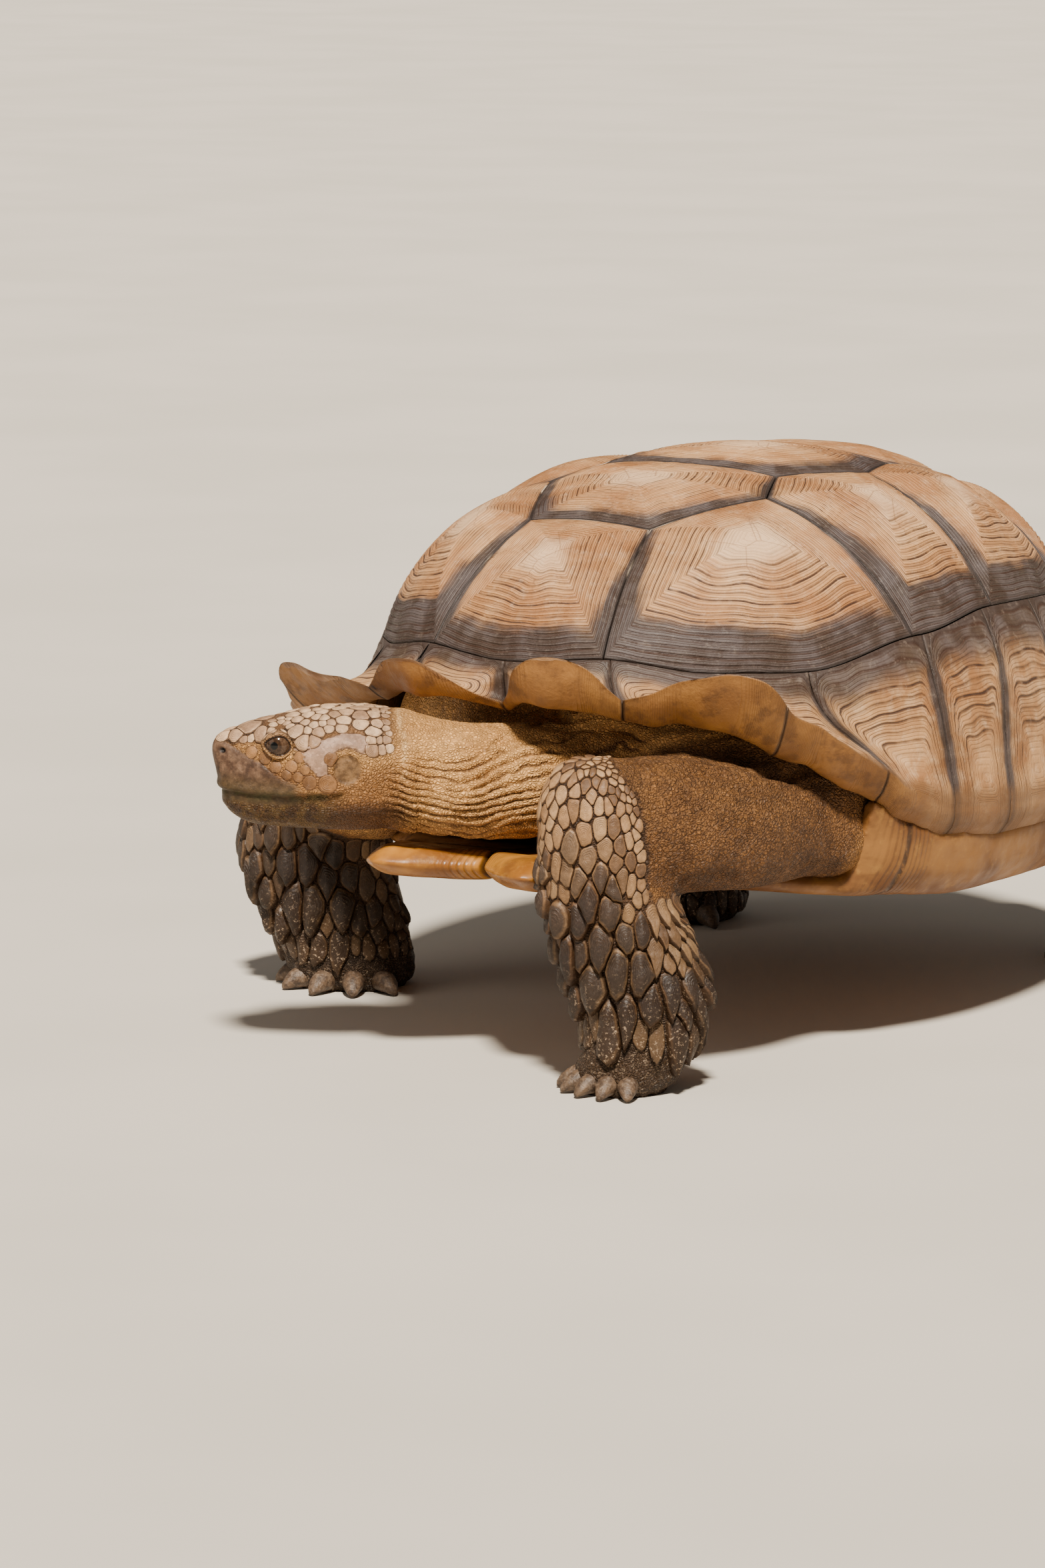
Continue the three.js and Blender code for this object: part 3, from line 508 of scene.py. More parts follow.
def horn_of_plates():
    paint = Paint("shell_horn", roughness=0.55, deepen=1.16)
    place, growth = paint.attribute("place"), paint.attribute("growth")
    patches = paint.clouds(0.06, 4)
    base = paint.mix(paint.span(patches, 0.38, 0.62), TAN, RUST)
    worn = paint.span(paint.math("ADD", place, paint.math("MULTIPLY", patches, 0.6)), 0.36, 0.72, 1, 0)
    colour = paint.mix(paint.math("MULTIPLY", worn, 0.62), base, CREAM)
    streaks = paint.clouds(0.012, 5, 0.6)
    colour = paint.mix(paint.span(streaks, 0.45, 0.75, 0, 0.35), colour, CREAM)
    # one ring in a few is darker than its neighbours
    number = paint.math("FLOOR", growth)
    darker = paint.math("FRACT", paint.math("MULTIPLY", number, 0.618))
    colour = paint.mix(paint.span(darker, 0.55, 1, 0, 0.45), colour, RUST)
    patchy = paint.span(paint.clouds(0.018, 4), 0.35, 0.55, 0.5, 1)
    # rust gathers between the lower rings
    rusty = paint.math("MULTIPLY", paint.span(paint.attribute("rimward"), 0.2, 0.9), paint.span(place, 0.4, 0.8))
    colour = paint.mix(paint.math("MULTIPLY", paint.math("MULTIPLY", rusty, patchy), 0.42), colour, (0.3, 0.14, 0.06))
    # the youngest rings, along the seams and towards the rim
    lean = paint.math("ADD", paint.math("MULTIPLY", paint.attribute("rimward"), 0.2),
                      paint.math("MULTIPLY", paint.attribute("forward"), 0.05))
    young = paint.math("ADD", paint.math("ADD", place, lean), paint.math("MULTIPLY", paint.clouds(0.03, 3), 0.16))
    young = paint.math("ADD", young, paint.math("MULTIPLY", darker, 0.06))
    dark = paint.span(young, 0.955, 1.1)
    grey = paint.mix(paint.span(paint.clouds(0.02, 4), 0.35, 0.65), CHARCOAL, SLATE)
    colour = paint.mix(paint.math("MULTIPLY", dark, 0.92), colour, grey)
    # the grooves and the finer lines between them, darkened partly as the horn's own growth lines and partly as painted
    # shade under each ring's ledge
    across = paint.math("ABSOLUTE", paint.math("SUBTRACT", paint.math("FRACT", growth), 0.5))
    line = paint.span(across, 0.05, 0.22, 1, 0)
    strong = paint.span(paint.math("FRACT", paint.math("MULTIPLY", number, 0.387)), 0.1, 0.75, 0.4, 1)
    line = paint.math("MULTIPLY", line, strong)
    fine = paint.math("FRACT", paint.math("MULTIPLY", growth, 3))
    fine_line = paint.span(paint.math("ABSOLUTE", paint.math("SUBTRACT", fine, 0.5)), 0.04, 0.24, 1, 0)
    shows = paint.math("MULTIPLY", patchy, paint.span(place, 0.1, 0.36))
    colour = paint.mix(paint.math("MULTIPLY", line, paint.math("MULTIPLY", shows, 0.95)), colour, GROOVE_SHADE_BROWN)
    colour = paint.mix(paint.math("MULTIPLY", fine_line, paint.math("MULTIPLY", shows, 0.3)), colour, GROOVE_SHADE_BROWN)
    # pale dust in small patches, and the pale crack in the seam itself
    dust = paint.span(paint.clouds(0.006, 4, 0.7), 0.54, 0.75, 0, 0.11)
    colour = paint.mix(dust, colour, (0.66, 0.55, 0.46))
    crack = paint.math("MULTIPLY", paint.span(place, 0.985, 0.997), paint.span(paint.clouds(0.05, 2), 0.52, 0.6, 0, 0.7))
    crack = paint.math("MULTIPLY", crack, paint.span(paint.attribute("rimward"), 0.0, 0.35, 1, 0))
    seam = paint.math("SUBTRACT", paint.span(place, 0.975, 0.993), crack)
    colour = paint.mix(paint.math("MULTIPLY", seam, 0.8), colour, (0.035, 0.024, 0.02))
    # hair cracks where the old horn is worn
    crazed = paint.span(paint.cells(0.03, "DISTANCE_TO_EDGE"), 0, 0.02, 0.5, 0)
    crazed = paint.math("MULTIPLY", crazed, paint.span(place, 0.3, 0.55, 1, 0))
    colour = paint.mix(crazed, colour, (0.2, 0.1, 0.05))
    colour = paint.mix(crack, colour, (0.7, 0.58, 0.45))
    relief = paint.math("SUBTRACT", paint.clouds(0.003, 5, 0.65), paint.math("MULTIPLY", fine_line, 0.5))
    rough = paint.span(paint.clouds(0.01, 3), 0.3, 0.7, 0.48, 0.68)
    return paint.finish(colour, relief, 0.0007, rough)


shell_horn = horn_of_plates()

# %% Make the big plates
for number, (name, outline, areola, rise) in enumerate(BIG_PLATES):
    bm, centre = flat_plate(outline, areola)
    mesh = mesh_from(bm, name)
    bend_plate(mesh, centre, rise, 11.3 * number)
    finish_piece(f"{name}_horn", mesh, shell_horn, "shell", name)
    print(name, len(mesh.polygons), "faces")

# %% [markdown]
# ## The edge plates
#
# Eleven plates a side and one over the tail make the rim. At the front they curl up, with a
# tan under face turned to the viewer; along the flanks they hang steep; over the hind legs
# they flare. Their shape changes all the way round, so it is given as a few curves along the
# rim: a plate number m runs from 0 at the neck to 12 at the tail, and at each m the plate's
# cross section is a smooth line down its outer face, round the lip and back up behind.

# %% How the rim changes along the shell
SEAM_TOP = [0, 20, 39, 52, 73, 88, 103, 116, 129, 142, 154, 167, 180]
SEAM_RIM = [0, 24, 45, 61, 73.5, 85, 98, 112, 126, 140, 153, 166.5, 180]
RIM_OUT = [
    (0, -24), (0.14, -12), (0.3, 14), (0.5, 19), (0.75, 16), (1, 12), (1.3, 22), (1.6, 38), (1.86, 45),
    (1.97, 40), (2.04, 28), (2.5, 24), (3, 16), (4, 8), (6, 6), (7, 8), (7.8, 18), (8, 12), (8.8, 28),
    (9, 16), (9.8, 28), (10, 16), (10.8, 18), (11, 6), (12, -8),
]
RIM_HEIGHT = [
    (0, 244), (0.14, 252), (0.3, 275), (0.45, 284), (0.6, 285), (0.8, 279), (0.92, 262), (1, 256), (1.15, 260),
    (1.4, 272), (1.65, 278), (1.86, 273), (1.97, 258), (2.04, 246), (2.3, 238), (2.5, 225), (2.75, 212),
    (3, 200), (3.3, 185), (4, 170), (5, 164), (6, 162), (7, 166), (7.8, 174), (8, 172), (8.8, 184), (9, 180),
    (9.8, 186), (10, 180), (10.8, 176), (11, 166), (12, 150),
]
RIM_PITCH = [
    (0, 0), (0.3, 72), (0.7, 72), (1, 45), (1.6, 66), (2, 45), (2.5, 5), (3, -30), (4, -75), (7, -75),
    (8, -25), (9, 12), (10.5, 5), (12, -60),
]
RIGHT_DROP = [
    (0, 0), (0.3, 6), (0.6, 11), (1, 8), (1.2, 10), (1.4, 21), (1.6, 22.5), (1.8, 19.5), (1.9, 17), (2, 13),
    (2.15, 19), (2.3, 16), (2.5, 11), (3, 0), (12, 0),
]
RIGHT_FLARE = [
    (0, 0), (1.5, 0), (1.7, 2.5), (1.86, 6), (2, 16), (2.15, 18), (2.3, 17), (2.5, 24), (2.75, 18), (3, 8),
    (3.6, 0), (12, 0),
]
LIP_DEPTH = [
    (0, 6), (0.14, 8), (0.3, 26), (0.5, 39), (0.75, 37), (0.92, 22), (1, 16), (1.3, 30), (1.65, 44), (1.86, 47),
    (1.97, 40), (2.04, 32), (2.5, 26), (3, 20), (4, 20), (7, 20), (8.5, 16), (11, 16), (12, 12),
]
RIGHT_LIP = [(0, 1), (0.3, 0.8), (1, 0.6), (2, 0.7), (3, 1), (12, 1)]
LIP_INSET = [
    (0, 6), (0.3, 14), (0.75, 16), (1, 12), (1.65, 28), (1.9, 32), (2.04, 22), (2.5, 18), (3, 13), (4, 7),
    (7, 7), (9, 14), (12, 10),
]
OUTER_STEPS, UNDER_STEPS = 30, 22
UP = np.array([0.0, 0.0, 1.0])


def one(keys, m):
    """The value of one curve at one place."""
    return float(keyed(keys, m)[0])


def spline(points, steps):
    """A smooth line through a few points, with that many steps between its ends."""
    p = np.vstack([2 * points[0] - points[1], points, 2 * points[-1] - points[-2]])
    spans = len(points) - 1
    line = []
    for t in np.linspace(0, spans, steps + 1):
        i = min(int(t), spans - 1)
        u = t - i
        a, b, c, d = p[i : i + 4]
        line.append(0.5 * (2 * b + (c - a) * u + (2 * a - 5 * b + 4 * c - d) * u**2 + (3 * b - a - 3 * c + d) * u**3))
    return np.array(line)


def rim_section(m, on_right):
    """The closed cross section of the edge plate at a place along the rim."""
    top_heading = heading(np.interp(m, range(13), SEAM_TOP))
    start = one(EDGE_START, np.interp(m, range(13), SEAM_TOP))
    q = (top_heading * start)[None]
    normal = dome_normal(q)[0]
    base = dome(q)[0] - SUNK * normal
    above = dome(q * (1 - 0.02 / start))[0] - SUNK * normal
    fall = unit(base - above)
    rim_heading = heading(np.interp(m, range(13), SEAM_RIM))
    x, y = plan(rim_heading)
    power, length = PLAN_POWER - 1, FRONT if rim_heading[1] < 0 else REAR
    out = unit(np.array([
        np.sign(x) * abs(x / HALF_WIDTH) ** power / HALF_WIDTH,
        np.sign(y) * abs(y / length) ** power / length,
        0.0,
    ]))
    height = one(RIM_HEIGHT, m) - (one(RIGHT_DROP, m) if on_right else 0)
    depth = one(LIP_DEPTH, m) * (one(RIGHT_LIP, m) if on_right else 1)
    reach = one(RIM_OUT, m) + (one(RIGHT_FLARE, m) if on_right else 0)
    tip = np.array([x, y, 0]) + out * reach + UP * height
    span = np.linalg.norm(tip - base)
    pitch = math.radians(one(RIM_PITCH, m))
    a = base + fall * span * 0.45
    b = tip - (out * math.cos(pitch) + UP * math.sin(pitch)) * span * 0.4
    t = np.linspace(0, 1, OUTER_STEPS + 1)[:, None]
    outer = base * (1 - t) ** 3 + 3 * a * t * (1 - t) ** 2 + 3 * b * t**2 * (1 - t) + tip * t**3
    lip = tip - out * one(LIP_INSET, m) - UP * depth
    bulge = (tip + lip) / 2 + out * depth * 0.1
    inside = lip - out * (0.45 * depth + 4) + UP * 0.1 * depth
    root = base - PLATE_THICK * normal
    edge = tip - out * 1.5 - UP * 2
    under = spline(np.array([edge, bulge, lip, inside, root]), UNDER_STEPS)
    section = np.vstack([outer, under])
    # the lip is worn round
    for _ in range(2):
        softer = (np.roll(section, 1, axis=0) + 2 * section + np.roll(section, -1, axis=0)) / 4
        section[3:-3] = softer[3:-3]
    return section


# %% [markdown]
# Each edge plate is a grid bent round its section: one way along the rim, the other round the
# section, where the grid's two borders are welded. Its two ends are then closed. The growth
# rings run parallel to the plate's upper and side seams, round an areola low on the plate,
# and their grooves are cut into the outer face as on the big plates.

# %% Model the edge plates
RIM_STEPS = 34
EDGE_RINGS = 11
AREOLA_ALONG, AREOLA_DOWN = 0.58, 0.9
SECTION_POINTS = OUTER_STEPS + UNDER_STEPS + 2


def edge_grid():
    """A grid whose x runs 0..1 along the rim and y 0..1 round the section, closed to a tube."""
    bm = bmesh.new()
    bmesh.ops.create_grid(bm, x_segments=RIM_STEPS, y_segments=SECTION_POINTS, size=0.5)
    bmesh.ops.translate(bm, vec=(0.5, 0.5, 0), verts=bm.verts)
    first = {round(v.co.x * RIM_STEPS): v for v in bm.verts if v.co.y < 1e-4}
    last = [v for v in bm.verts if v.co.y > 1 - 1e-4]
    bmesh.ops.weld_verts(bm, targetmap={v: first[round(v.co.x * RIM_STEPS)] for v in last})
    ends = [edge for edge in bm.edges if edge.is_boundary]
    bmesh.ops.holes_fill(bm, edges=ends, sides=0)
    return bm


def shape_edge_plate(mesh, first_m, last_m, on_right, seed):
    """Bends the grid onto the rim between two places and lays out its growth rings."""
    grid = coordinates(mesh)
    column = np.rint(grid[:, 0] * RIM_STEPS).astype(int)
    row = np.rint(grid[:, 1] * SECTION_POINTS).astype(int) % SECTION_POINTS
    stations = np.linspace(first_m, last_m, RIM_STEPS + 1)
    sections = np.array([rim_section(m if m <= 12 else 24 - m, on_right) for m in stations])
    sections[stations > 12, :, 0] *= -1
    for _ in range(8):  # no corners along the lip
        sections[1:-1] = (sections[:-2] + 2 * sections[1:-1] + sections[2:]) / 4
    points = sections[column, row]
    ahead = unit(np.gradient(sections[:, :, :2].mean(axis=1), axis=0))
    ahead = np.column_stack([ahead, np.zeros(len(ahead))])
    squeeze = np.where(column == 0, 1.0, np.where(column == RIM_STEPS, -1.0, 0.0)) * SEAM_GAP
    points = points + ahead[column] * squeeze[:, None]
    if on_right:
        points[:, 0] *= -1
    down = np.clip(row / OUTER_STEPS, 0, 1)
    under = row > OUTER_STEPS
    side = np.abs(grid[:, 0] - AREOLA_ALONG) / np.where(grid[:, 0] < AREOLA_ALONG, AREOLA_ALONG, 1 - AREOLA_ALONG)
    side = side**1.7
    upward = np.where(under, 0.15, np.maximum(AREOLA_DOWN - down, (down - AREOLA_DOWN) * 2) / AREOLA_DOWN)
    place = np.clip((side**7 + upward**7) ** (1 / 7), 0, 1)
    growth = EDGE_RINGS * place**1.25 + WANDER * lumps(points, 20, seed) * ease(place * 2.5)
    # behind the front lobes the outer horn runs on round the lip
    curled = under * step_between(4.2, 2.6, np.minimum(stations, 24 - stations))[column]
    for name, values in (("place", place), ("growth", growth), ("under", curled), ("down", down), ("side", side)):
        store(mesh, name, values)
    return points, place, growth, under, down


def carve_edge_plate(mesh, points, place, growth, under, down, seed):
    """Moves the plate's points along their normals to cut grooves and raise ripples."""
    move_to(mesh, to_frame(points))
    out = normals(mesh)
    fade = step_between(0, 0.06, down) * step_between(1.0, 0.9, down) * step_between(1.0, 0.97, place)
    worn = step_between(0.12, 0.45, place) * (0.6 + 0.4 * lumps(points, 16, seed + 2))
    lift = -1.5 * groove(growth) * worn * fade
    lift += 0.7 * lumps(points * [1, 1, 2.4], 17, seed + 4) * fade
    lift += np.where(under, 0.3 * lumps(points, 12, seed + 6), 0)
    move_to(mesh, coordinates(mesh) + out * lift[:, None] * MM)


# %% [markdown]
# The edge plates share the big plates' horn, with two changes: charcoal lies in a band along
# the upper seam and at one side only, and the under faces that curl into view are plain
# yellow-brown, with thin growth lines near their seams and a few darker blotches.

# %% Horn of the edge plates
def horn_of_rim():
    paint = Paint("rim_horn", roughness=0.55, deepen=1.18)
    place, growth = paint.attribute("place"), paint.attribute("growth")
    down, side = paint.attribute("down"), paint.attribute("side")
    patches = paint.clouds(0.045, 4)
    base = paint.mix(paint.span(patches, 0.4, 0.62), (0.5, 0.295, 0.145), (0.33, 0.165, 0.07))
    pale = paint.span(paint.clouds(0.014, 5, 0.6), 0.45, 0.7, 0, 0.5)
    colour = paint.mix(pale, base, (0.64, 0.45, 0.28))
    dark_top = paint.span(paint.math("ADD", down, paint.math("MULTIPLY", patches, 0.2)), 0.2, 0.42, 1, 0)
    dark_side = paint.span(paint.math("ADD", side, paint.math("MULTIPLY", patches, 0.16)), 0.76, 0.93)
    dark = paint.math("MAXIMUM", dark_top, dark_side)
    grey = paint.mix(paint.span(paint.clouds(0.02, 4), 0.35, 0.65), CHARCOAL, SLATE)
    colour = paint.mix(paint.math("MULTIPLY", dark, 0.88), colour, grey)
    # the grooves and finer lines, darkened partly as the horn's own growth lines and partly as painted shade under each
    # ring's ledge
    across = paint.math("ABSOLUTE", paint.math("SUBTRACT", paint.math("FRACT", growth), 0.5))
    line = paint.span(across, 0.05, 0.22, 1, 0)
    strong = paint.math("FRACT", paint.math("MULTIPLY", paint.math("FLOOR", growth), 0.387))
    line = paint.math("MULTIPLY", line, paint.span(strong, 0.1, 0.75, 0.45, 1))
    fine = paint.math("FRACT", paint.math("MULTIPLY", growth, 3))
    fine_line = paint.span(paint.math("ABSOLUTE", paint.math("SUBTRACT", fine, 0.5)), 0.04, 0.26, 1, 0)
    shows = paint.math("MULTIPLY", paint.span(paint.clouds(0.016, 4), 0.35, 0.55, 0.5, 1), paint.span(place, 0.1, 0.36))
    colour = paint.mix(paint.math("MULTIPLY", line, paint.math("MULTIPLY", shows, 0.92)), colour, GROOVE_SHADE_BROWN)
    colour = paint.mix(paint.math("MULTIPLY", fine_line, paint.math("MULTIPLY", shows, 0.3)), colour, GROOVE_SHADE_BROWN)
    colour = paint.mix(paint.span(place, 0.95, 0.985, 0, 0.7), colour, (0.05, 0.032, 0.025))
    dust = paint.span(paint.clouds(0.006, 4, 0.7), 0.54, 0.72, 0, 0.12)
    colour = paint.mix(dust, colour, (0.64, 0.53, 0.43))
    # the worn lower edge
    scuffed = paint.span(paint.math("ADD", down, paint.math("MULTIPLY", patches, 0.14)), 0.97, 1.06, 0, 0.7)
    colour = paint.mix(scuffed, colour, (0.2, 0.105, 0.045))
    # the under face
    tone = paint.mix(paint.span(paint.clouds(0.05, 3), 0.35, 0.65), (0.36, 0.18, 0.05), (0.24, 0.11, 0.028))
    blotch = paint.span(paint.clouds(0.018, 4, 0.65), 0.51, 0.66, 0, 0.6)
    tone = paint.mix(blotch, tone, (0.13, 0.06, 0.02))
    streak = paint.math("MULTIPLY", paint.span(side, 0.45, 0.75), paint.span(paint.clouds(0.01, 3), 0.45, 0.6))
    tone = paint.mix(paint.math("MULTIPLY", fine_line, paint.math("MULTIPLY", streak, 0.75)), tone, (0.11, 0.045, 0.015))
    grain = paint.clouds(0.01, 4, 0.6, paint.stretched(1, 1, 0.22))
    tone = paint.mix(paint.span(grain, 0.5, 0.66, 0, 0.4), tone, (0.17, 0.08, 0.025))
    tone = paint.mix(paint.span(side, 0.93, 0.99, 0, 0.8), tone, (0.06, 0.03, 0.012))
    colour = paint.mix(paint.attribute("under"), colour, tone)
    relief = paint.math("SUBTRACT", paint.clouds(0.003, 5, 0.65), paint.math("MULTIPLY", fine_line, 0.4))
    return paint.finish(colour, relief, 0.0006, paint.span(paint.clouds(0.01, 3), 0.3, 0.7, 0.46, 0.66))


rim_horn = horn_of_rim()


# %% Make the edge plates
def make_edge_plate(node, first_m, last_m, on_right, seed):
    mesh = mesh_from(edge_grid(), node)
    shaped = shape_edge_plate(mesh, first_m, last_m, on_right, seed)
    carve_edge_plate(mesh, *shaped, seed)
    bm = bmesh.new()
    bm.from_mesh(mesh)
    bmesh.ops.recalc_face_normals(bm, faces=bm.faces)
    bm.to_mesh(mesh)
    bm.free()
    finish_piece(f"{node}_horn", mesh, rim_horn, "rim", node)


for number in range(1, 12):
    make_edge_plate(f"marginal_left_{number}", number - 1, number, False, 3.7 * number)
    make_edge_plate(f"marginal_right_{number}", number - 1, number, True, 5.1 * number + 60)
make_edge_plate("supracaudal", 11, 13, False, 77.0)
print("edge plates made")

# %% [markdown]
# ## The belly plate
#
# The flat belly plate, or plastron, is tied to the edge plates by a bridge on each side, and
# two thick prongs, the gulars, stick out under the neck. They are smooth, waxy horn with worn,
# rounded edges. A voxel remesh of the CAD piece gives an even net that can be relaxed until
# its corners are round, which a bevel could not do on such an uneven shape.

# %% Soften the belly and the prongs
BELLY_SEAMS = [-296, -205, -128, 118, 205]  # across the plate, from the throat to the tail


def voxel_wrap(bm, name, voxel):
    """One closed net round everything in the bmesh, with squares of that size in millimetres."""
    holder = bpy.data.objects.new(name, mesh_from(bm, name))
    bpy.context.scene.collection.objects.link(holder)
    wrap = holder.modifiers.new("wrap", "REMESH")
    wrap.mode = "VOXEL"
    wrap.voxel_size = voxel * MM
    settled = holder.evaluated_get(bpy.context.evaluated_depsgraph_get())
    net = bpy.data.meshes.new_from_object(settled)
    bpy.data.objects.remove(holder)
    net.name = name
    return net


def softened(node, voxel, passes, swell):
    """The CAD piece as an even net, relaxed, and swollen by what relaxing takes away."""
    bm = bmesh.new()
    bm.from_mesh(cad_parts[node].data)
    bmesh.ops.remove_doubles(bm, verts=bm.verts, dist=0.00002)
    mesh = voxel_wrap(bm, f"{node}_horn", voxel)
    bm = bmesh.new()
    bm.from_mesh(mesh)
    for _ in range(passes):
        bmesh.ops.smooth_vert(bm, verts=bm.verts, factor=0.5, use_axis_x=True, use_axis_y=True, use_axis_z=True)
    bm.to_mesh(mesh)
    bm.free()
    points = from_frame(coordinates(mesh))
    points += normals(mesh) * (swell + 0.35 * lumps(points, 22, 5.0))[:, None]
    seam = np.abs(points[:, 0])
    for y in BELLY_SEAMS:
        curve = y + 14 * np.cos(points[:, 0] / 45)
        seam = np.minimum(seam, np.abs(points[:, 1] - curve))
    store(mesh, "seam", seam)
    store(mesh, "side", step_between(186, 200, np.abs(points[:, 0])))
    move_to(mesh, to_frame(points))
    mesh.shade_smooth()
    return mesh


# %% Horn of the belly
def waxy_horn(name, amber, brown, roughness):
    paint = Paint(name, roughness=roughness, specular=0.32, deepen=1.32)
    patches = paint.clouds(0.05, 4)
    colour = paint.mix(paint.span(patches, 0.36, 0.64), amber, brown)
    along = paint.clouds(0.03, 4, 0.6, paint.stretched(1, 0.25, 1.6))
    colour = paint.mix(paint.span(along, 0.5, 0.68, 0, 0.7), colour, (0.2, 0.095, 0.035))
    rings = paint.math("FRACT", paint.math("MULTIPLY", paint.attribute("seam"), 0.28))
    ring_line = paint.span(paint.math("ABSOLUTE", paint.math("SUBTRACT", rings, 0.5)), 0.05, 0.3, 1, 0)
    shown = paint.math("MULTIPLY", paint.span(paint.attribute("seam"), 30, 6, 0, 1), paint.span(patches, 0.3, 0.55))
    colour = paint.mix(paint.math("MULTIPLY", paint.math("MULTIPLY", ring_line, shown), 0.55), colour, (0.14, 0.07, 0.03))
    colour = paint.mix(paint.span(paint.attribute("seam"), 0.8, 2.2, 0.85, 0), colour, (0.07, 0.035, 0.018))
    pale = paint.span(paint.clouds(0.008, 5, 0.65), 0.52, 0.72, 0, 0.3)
    colour = paint.mix(pale, colour, (0.52, 0.32, 0.1))
    groove_height = paint.span(paint.attribute("seam"), 0.6, 2.4)
    relief = paint.math("ADD", paint.math("MULTIPLY", paint.clouds(0.004, 4), 0.3), paint.math("MULTIPLY", groove_height, 1.2))
    relief = paint.math("SUBTRACT", relief, paint.math("MULTIPLY", paint.math("MULTIPLY", ring_line, shown), 0.35))
    return paint.finish(colour, relief, 0.0009, paint.span(paint.clouds(0.012, 3), 0.3, 0.7, roughness - 0.08, roughness + 0.12))


belly_horn = waxy_horn("belly_horn", (0.35, 0.19, 0.066), (0.2, 0.095, 0.032), 0.46)
prong_horn = waxy_horn("prong_horn", (0.52, 0.27, 0.055), (0.26, 0.115, 0.025), 0.34)
finish_piece("plastron_horn", softened("plastron", 3.6, 5, 0.3), belly_horn, "under", "plastron")
for side in ("left", "right"):
    node = f"gular_{side}"
    finish_piece(f"{node}_horn", softened(node, 1.7, 26, 0.5), prong_horn, "under", node)
print("belly softened")

# %% [markdown]
# The head is turned to the animal's right, so its forms are placed with three lengths of its
# own: along its axis from the nape, aside to its left, and height above the ground.

# %% The head's own directions
NAPE = np.array([-62.0, -331.0, 0.0])
head_ahead = np.append(heading(-50), 0.0)
head_left = np.array([-head_ahead[1], head_ahead[0], 0.0])
NECK_PATH = np.array([[36, -150, 186], [32, -225, 186], [14, -266, 188], [-17, -305, 189], [-42, -321, 193], [-62, -331, 199]])


def head_places(points):
    """Length along the head, length aside and height of each point."""
    d = points - NAPE
    return d @ head_ahead, d @ head_left, points[:, 2]


def on_head(along, aside, height):
    return NAPE + along * head_ahead + aside * head_left + np.array([0.0, 0.0, height])


def along_path(points, path):
    """Distance from a path of straight runs and length along it, for each point."""
    path = np.asarray(path, dtype=float)
    best, run, start = np.full(len(points), 1e9), np.zeros(len(points)), 0.0
    for a, b in zip(path[:-1], path[1:]):
        length = np.linalg.norm(b - a)
        t = np.clip((points - a) @ (b - a) / length**2, 0, 1)
        d = np.linalg.norm(points - a - t[:, None] * (b - a), axis=1)
        run = np.where(d < best, start + t * length, run)
        best = np.minimum(best, d)
        start += length
    return best, run
EYE_PLACE = (78.5, 24.8, 219.8)
EYE_RADIUS = 9.8
EYE_MIDDLE = {side: NAPE + EYE_PLACE[0] * head_ahead + side * EYE_PLACE[1] * head_left + [0, 0, EYE_PLACE[2]] for side in (1, -1)}

# %% [markdown]
# ## The skin
#
# Neck, head, legs and tail are soft, and one skin covers them all. Joining the CAD's pieces
# edge to edge would leave seams, so copies of them are laid together and wrapped with a voxel
# remesh, which gives one even net over everything. The facets are then relaxed away, and the
# finer forms, such as folds, lids and toes, are pressed into the net by moving its points.

# %% Copy the flesh
FLESH = ["trunk", "neck", "head", "lower_jaw", "tail"]
FLESH += [f"{part}_{side}" for part in ("foreleg", "forefoot", "hindleg", "hindfoot") for side in ("left", "right")]
FORE_SIDE, LEVEL_SIDE = np.array([0.848, 0.53]), np.array([1.0, 0.0])
# Each foot: its middle, the direction of its width, half width, half depth
FEET = {
    "forefoot_left": ((121, -322), FORE_SIDE, 37, 38),
    "forefoot_right": ((-236, -133.5), FORE_SIDE, 48, 40),
    "hindfoot_left": ((180, 260), LEVEL_SIDE, 46, 46),
    "hindfoot_right": ((-180, 220), LEVEL_SIDE, 46, 46),
}
CLAW_TOP = 21  # claws reach this high, in millimetres
OVERLAP = 1.0  # the copies are swollen by this much, in millimetres, so that they run together
TRUNK_TOP = 262


def without_claws(points, foot):
    """Pulls what stands out of a foot, its claws, back to the foot's outline."""
    centre, side, wide, deep = FEET[foot]
    ahead = np.array([-side[1], side[0]])
    flat = points[:, :2] - centre
    across, along = flat @ side, flat @ ahead
    reach = (np.abs(across / wide) ** 2.27 + np.abs(along / deep) ** 2.27) ** (1 / 2.27)
    reach = np.where(points[:, 2] < CLAW_TOP, np.maximum(reach, 1), 1)
    points[:, :2] = centre + flat / reach[:, None]
    return points


def flesh_copy(name):
    """A merged copy of one CAD piece of the body, slightly swollen."""
    bm = bmesh.new()
    bm.from_mesh(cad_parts[name].data)
    bmesh.ops.remove_doubles(bm, verts=bm.verts, dist=0.00002)
    if name == "trunk":
        whole = [*bm.verts, *bm.edges, *bm.faces]
        cut = bmesh.ops.bisect_plane(bm, geom=whole, plane_co=(0, 0, TRUNK_TOP * MM), plane_no=(0, 0, 1), clear_outer=True)
        rim = [part for part in cut["geom_cut"] if isinstance(part, bmesh.types.BMEdge)]
        bmesh.ops.triangle_fill(bm, edges=rim, use_beauty=True)
    mesh = mesh_from(bm, name)
    points = from_frame(coordinates(mesh))
    if name in FEET:
        points = without_claws(points, name)
    move_to(mesh, to_frame(points + normals(mesh) * OVERLAP))
    return mesh


bm = bmesh.new()
for name in FLESH:
    bm.from_mesh(flesh_copy(name))
print("flesh:", len(bm.verts), "points")

# %% [markdown]
# A few balls of flesh go in with the copies: one in each eye socket, so that the lids have
# something to grow from, and some between neck, arm and shell, where the skin of a standing
# tortoise is bunched up.

